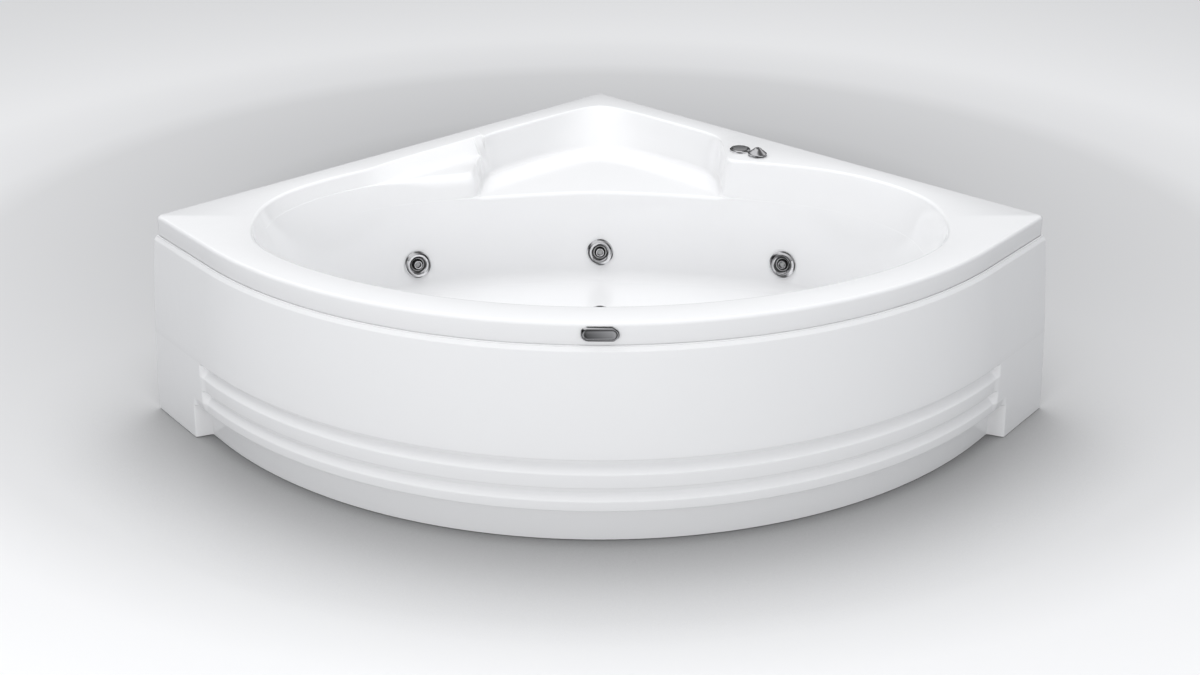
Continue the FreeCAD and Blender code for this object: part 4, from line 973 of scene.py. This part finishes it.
# what polished metal mirrors; the ramp holds level and colour from the dark floor to the bright ceiling
mirroredRoom = {
    "stripFactor": 9.0, "stripShare": 0.05,
    "ramp": [(0.05, (0.10, 0.10, 0.105, 1.0)), (0.30, (0.34, 0.34, 0.35, 1.0)),
             (0.62, (1.2, 1.2, 1.22, 1.0))],
}


def makeFloorLook():
    material = bpy.data.materials.new("studioFloorPaintedShade")
    material.use_nodes = True
    tree = material.node_tree
    shader = tree.nodes["Principled BSDF"]
    # painted shade and light: the floor's tone is darker near the tub and lighter far off, by its distance
    # from a point near the tub
    length = tree.nodes.new("ShaderNodeVectorMath")
    length.operation = "LENGTH"
    shift = tree.nodes.new("ShaderNodeVectorMath")
    shift.operation = "SUBTRACT"
    shift.inputs[1].default_value = studio["shadeToneMiddle"]
    tree.links.new(objectCoords(tree), shift.inputs[0])
    tree.links.new(shift.outputs["Vector"], length.inputs[0])
    ramp = tree.nodes.new("ShaderNodeValToRGB")
    tree.links.new(mathNode(tree, "DIVIDE", length.outputs["Value"], studio["shadeToneReach"]), ramp.inputs["Fac"])
    paintedShadeTones = studio["paintedShadeTones"]
    while len(ramp.color_ramp.elements) < len(paintedShadeTones):
        ramp.color_ramp.elements.new(1.0)
    for element, (distance, tone) in zip(ramp.color_ramp.elements, paintedShadeTones):
        element.position = distance / studio["shadeToneReach"]
        element.color = (tone, tone, tone * studio["blueTint"], 1.0)
    # painted shadow: the floor's colour darkens where the tub shades it; painted glow: the far floor glows
    # for the camera only
    shade = tree.nodes.new("ShaderNodeAmbientOcclusion")
    shade.samples = studio["shadeSamples"]
    shade.inputs["Distance"].default_value = studio["shadeReach"]
    tree.links.new(ramp.outputs["Color"], shade.inputs["Color"])
    # painted reflection: in glossy rays the floor's colour is swapped for a darker grey
    path = tree.nodes.new("ShaderNodeLightPath")
    paintedReflectionDim = tree.nodes.new("ShaderNodeMix")
    paintedReflectionDim.data_type = "RGBA"
    tree.links.new(path.outputs["Is Glossy Ray"], paintedReflectionDim.inputs["Factor"])
    tree.links.new(shade.outputs["Color"], paintedReflectionDim.inputs["A"])
    paintedReflectionDim.inputs["B"].default_value = (*studio["paintedReflectedFloor"], 1.0)
    tree.links.new(paintedReflectionDim.outputs["Result"], shader.inputs["Base Color"])
    # painted glow: emission seen only by the camera brightens the far floor, dimmed by the painted shadow
    paintedGlow = tree.nodes.new("ShaderNodeMapRange")
    tree.links.new(length.outputs["Value"], paintedGlow.inputs["Value"])
    paintedGlow.inputs["From Min"].default_value, paintedGlow.inputs["From Max"].default_value = studio["paintedGlowReach"]
    paintedGlow.inputs["To Max"].default_value = studio["paintedGlow"]
    seen = mathNode(tree, "MULTIPLY", paintedGlow.outputs["Result"], path.outputs["Is Camera Ray"])
    seen = mathNode(tree, "MULTIPLY", seen, shade.outputs["AO"])
    tree.links.new(seen, shader.inputs["Emission Color"])
    shader.inputs["Emission Strength"].default_value = 1.0
    shader.inputs["Roughness"].default_value = studio["floorRough"]
    return material


def addLamp(name, settings):
    data = bpy.data.lights.new(name, "AREA")
    data.shape = "RECTANGLE"
    data.size, data.size_y = settings["size"]
    data.energy = settings["power"]
    lamp = bpy.data.objects.new(name, data)
    lamp.location = settings["at"]
    aim = Vector(settings["to"]) - Vector(settings["at"])
    lamp.rotation_euler = aim.to_track_quat("-Z", "Y").to_euler()
    lamp.visible_glossy = settings["mirrored"]
    scene.collection.objects.link(lamp)


def dressWorld(tree):
    # polished metal mirrors a dark room with a bright ceiling and a few bright strips
    background = tree.nodes["Background"]
    background.inputs["Strength"].default_value = studio["worldStrength"]
    coordinates = tree.nodes.new("ShaderNodeTexCoord")
    split = tree.nodes.new("ShaderNodeSeparateXYZ")
    tree.links.new(coordinates.outputs["Generated"], split.inputs[0])
    strips = mathNode(tree, "MULTIPLY", split.outputs["X"], mirroredRoom["stripFactor"])
    strips = mathNode(tree, "MULTIPLY", mathNode(tree, "SINE", strips), mirroredRoom["stripShare"])
    level = mathNode(tree, "ADD", split.outputs["Z"], strips)
    ramp = tree.nodes.new("ShaderNodeValToRGB")
    tree.links.new(level, ramp.inputs["Fac"])
    ramp.color_ramp.elements.new(0.5)
    for element, (position, colour) in zip(ramp.color_ramp.elements, mirroredRoom["ramp"]):
        element.position, element.color = position, colour
    path = tree.nodes.new("ShaderNodeLightPath")
    mix = tree.nodes.new("ShaderNodeMix")
    mix.data_type = "RGBA"
    tree.links.new(path.outputs["Is Glossy Ray"], mix.inputs["Factor"])
    mix.inputs["A"].default_value = studio["worldColour"]
    tree.links.new(ramp.outputs["Color"], mix.inputs["B"])
    tree.links.new(mix.outputs["Result"], background.inputs["Color"])


half = studio["floorSize"] / 2.0
floorCorners = [(-half, -half, 0), (half, -half, 0), (half, half, 0), (-half, half, 0)]
floor = addMesh("studioFloor", floorCorners, [(0, 1, 2, 3)], smooth=False)
floor.data.materials.append(makeFloorLook())
world = bpy.data.worlds.new("studio")
world.use_nodes = True
dressWorld(world.node_tree)
scene.world = world
for name, settings in studio["lamps"].items():
    addLamp(name, settings)
scene.view_settings.view_transform = "Standard"
print("studio done")
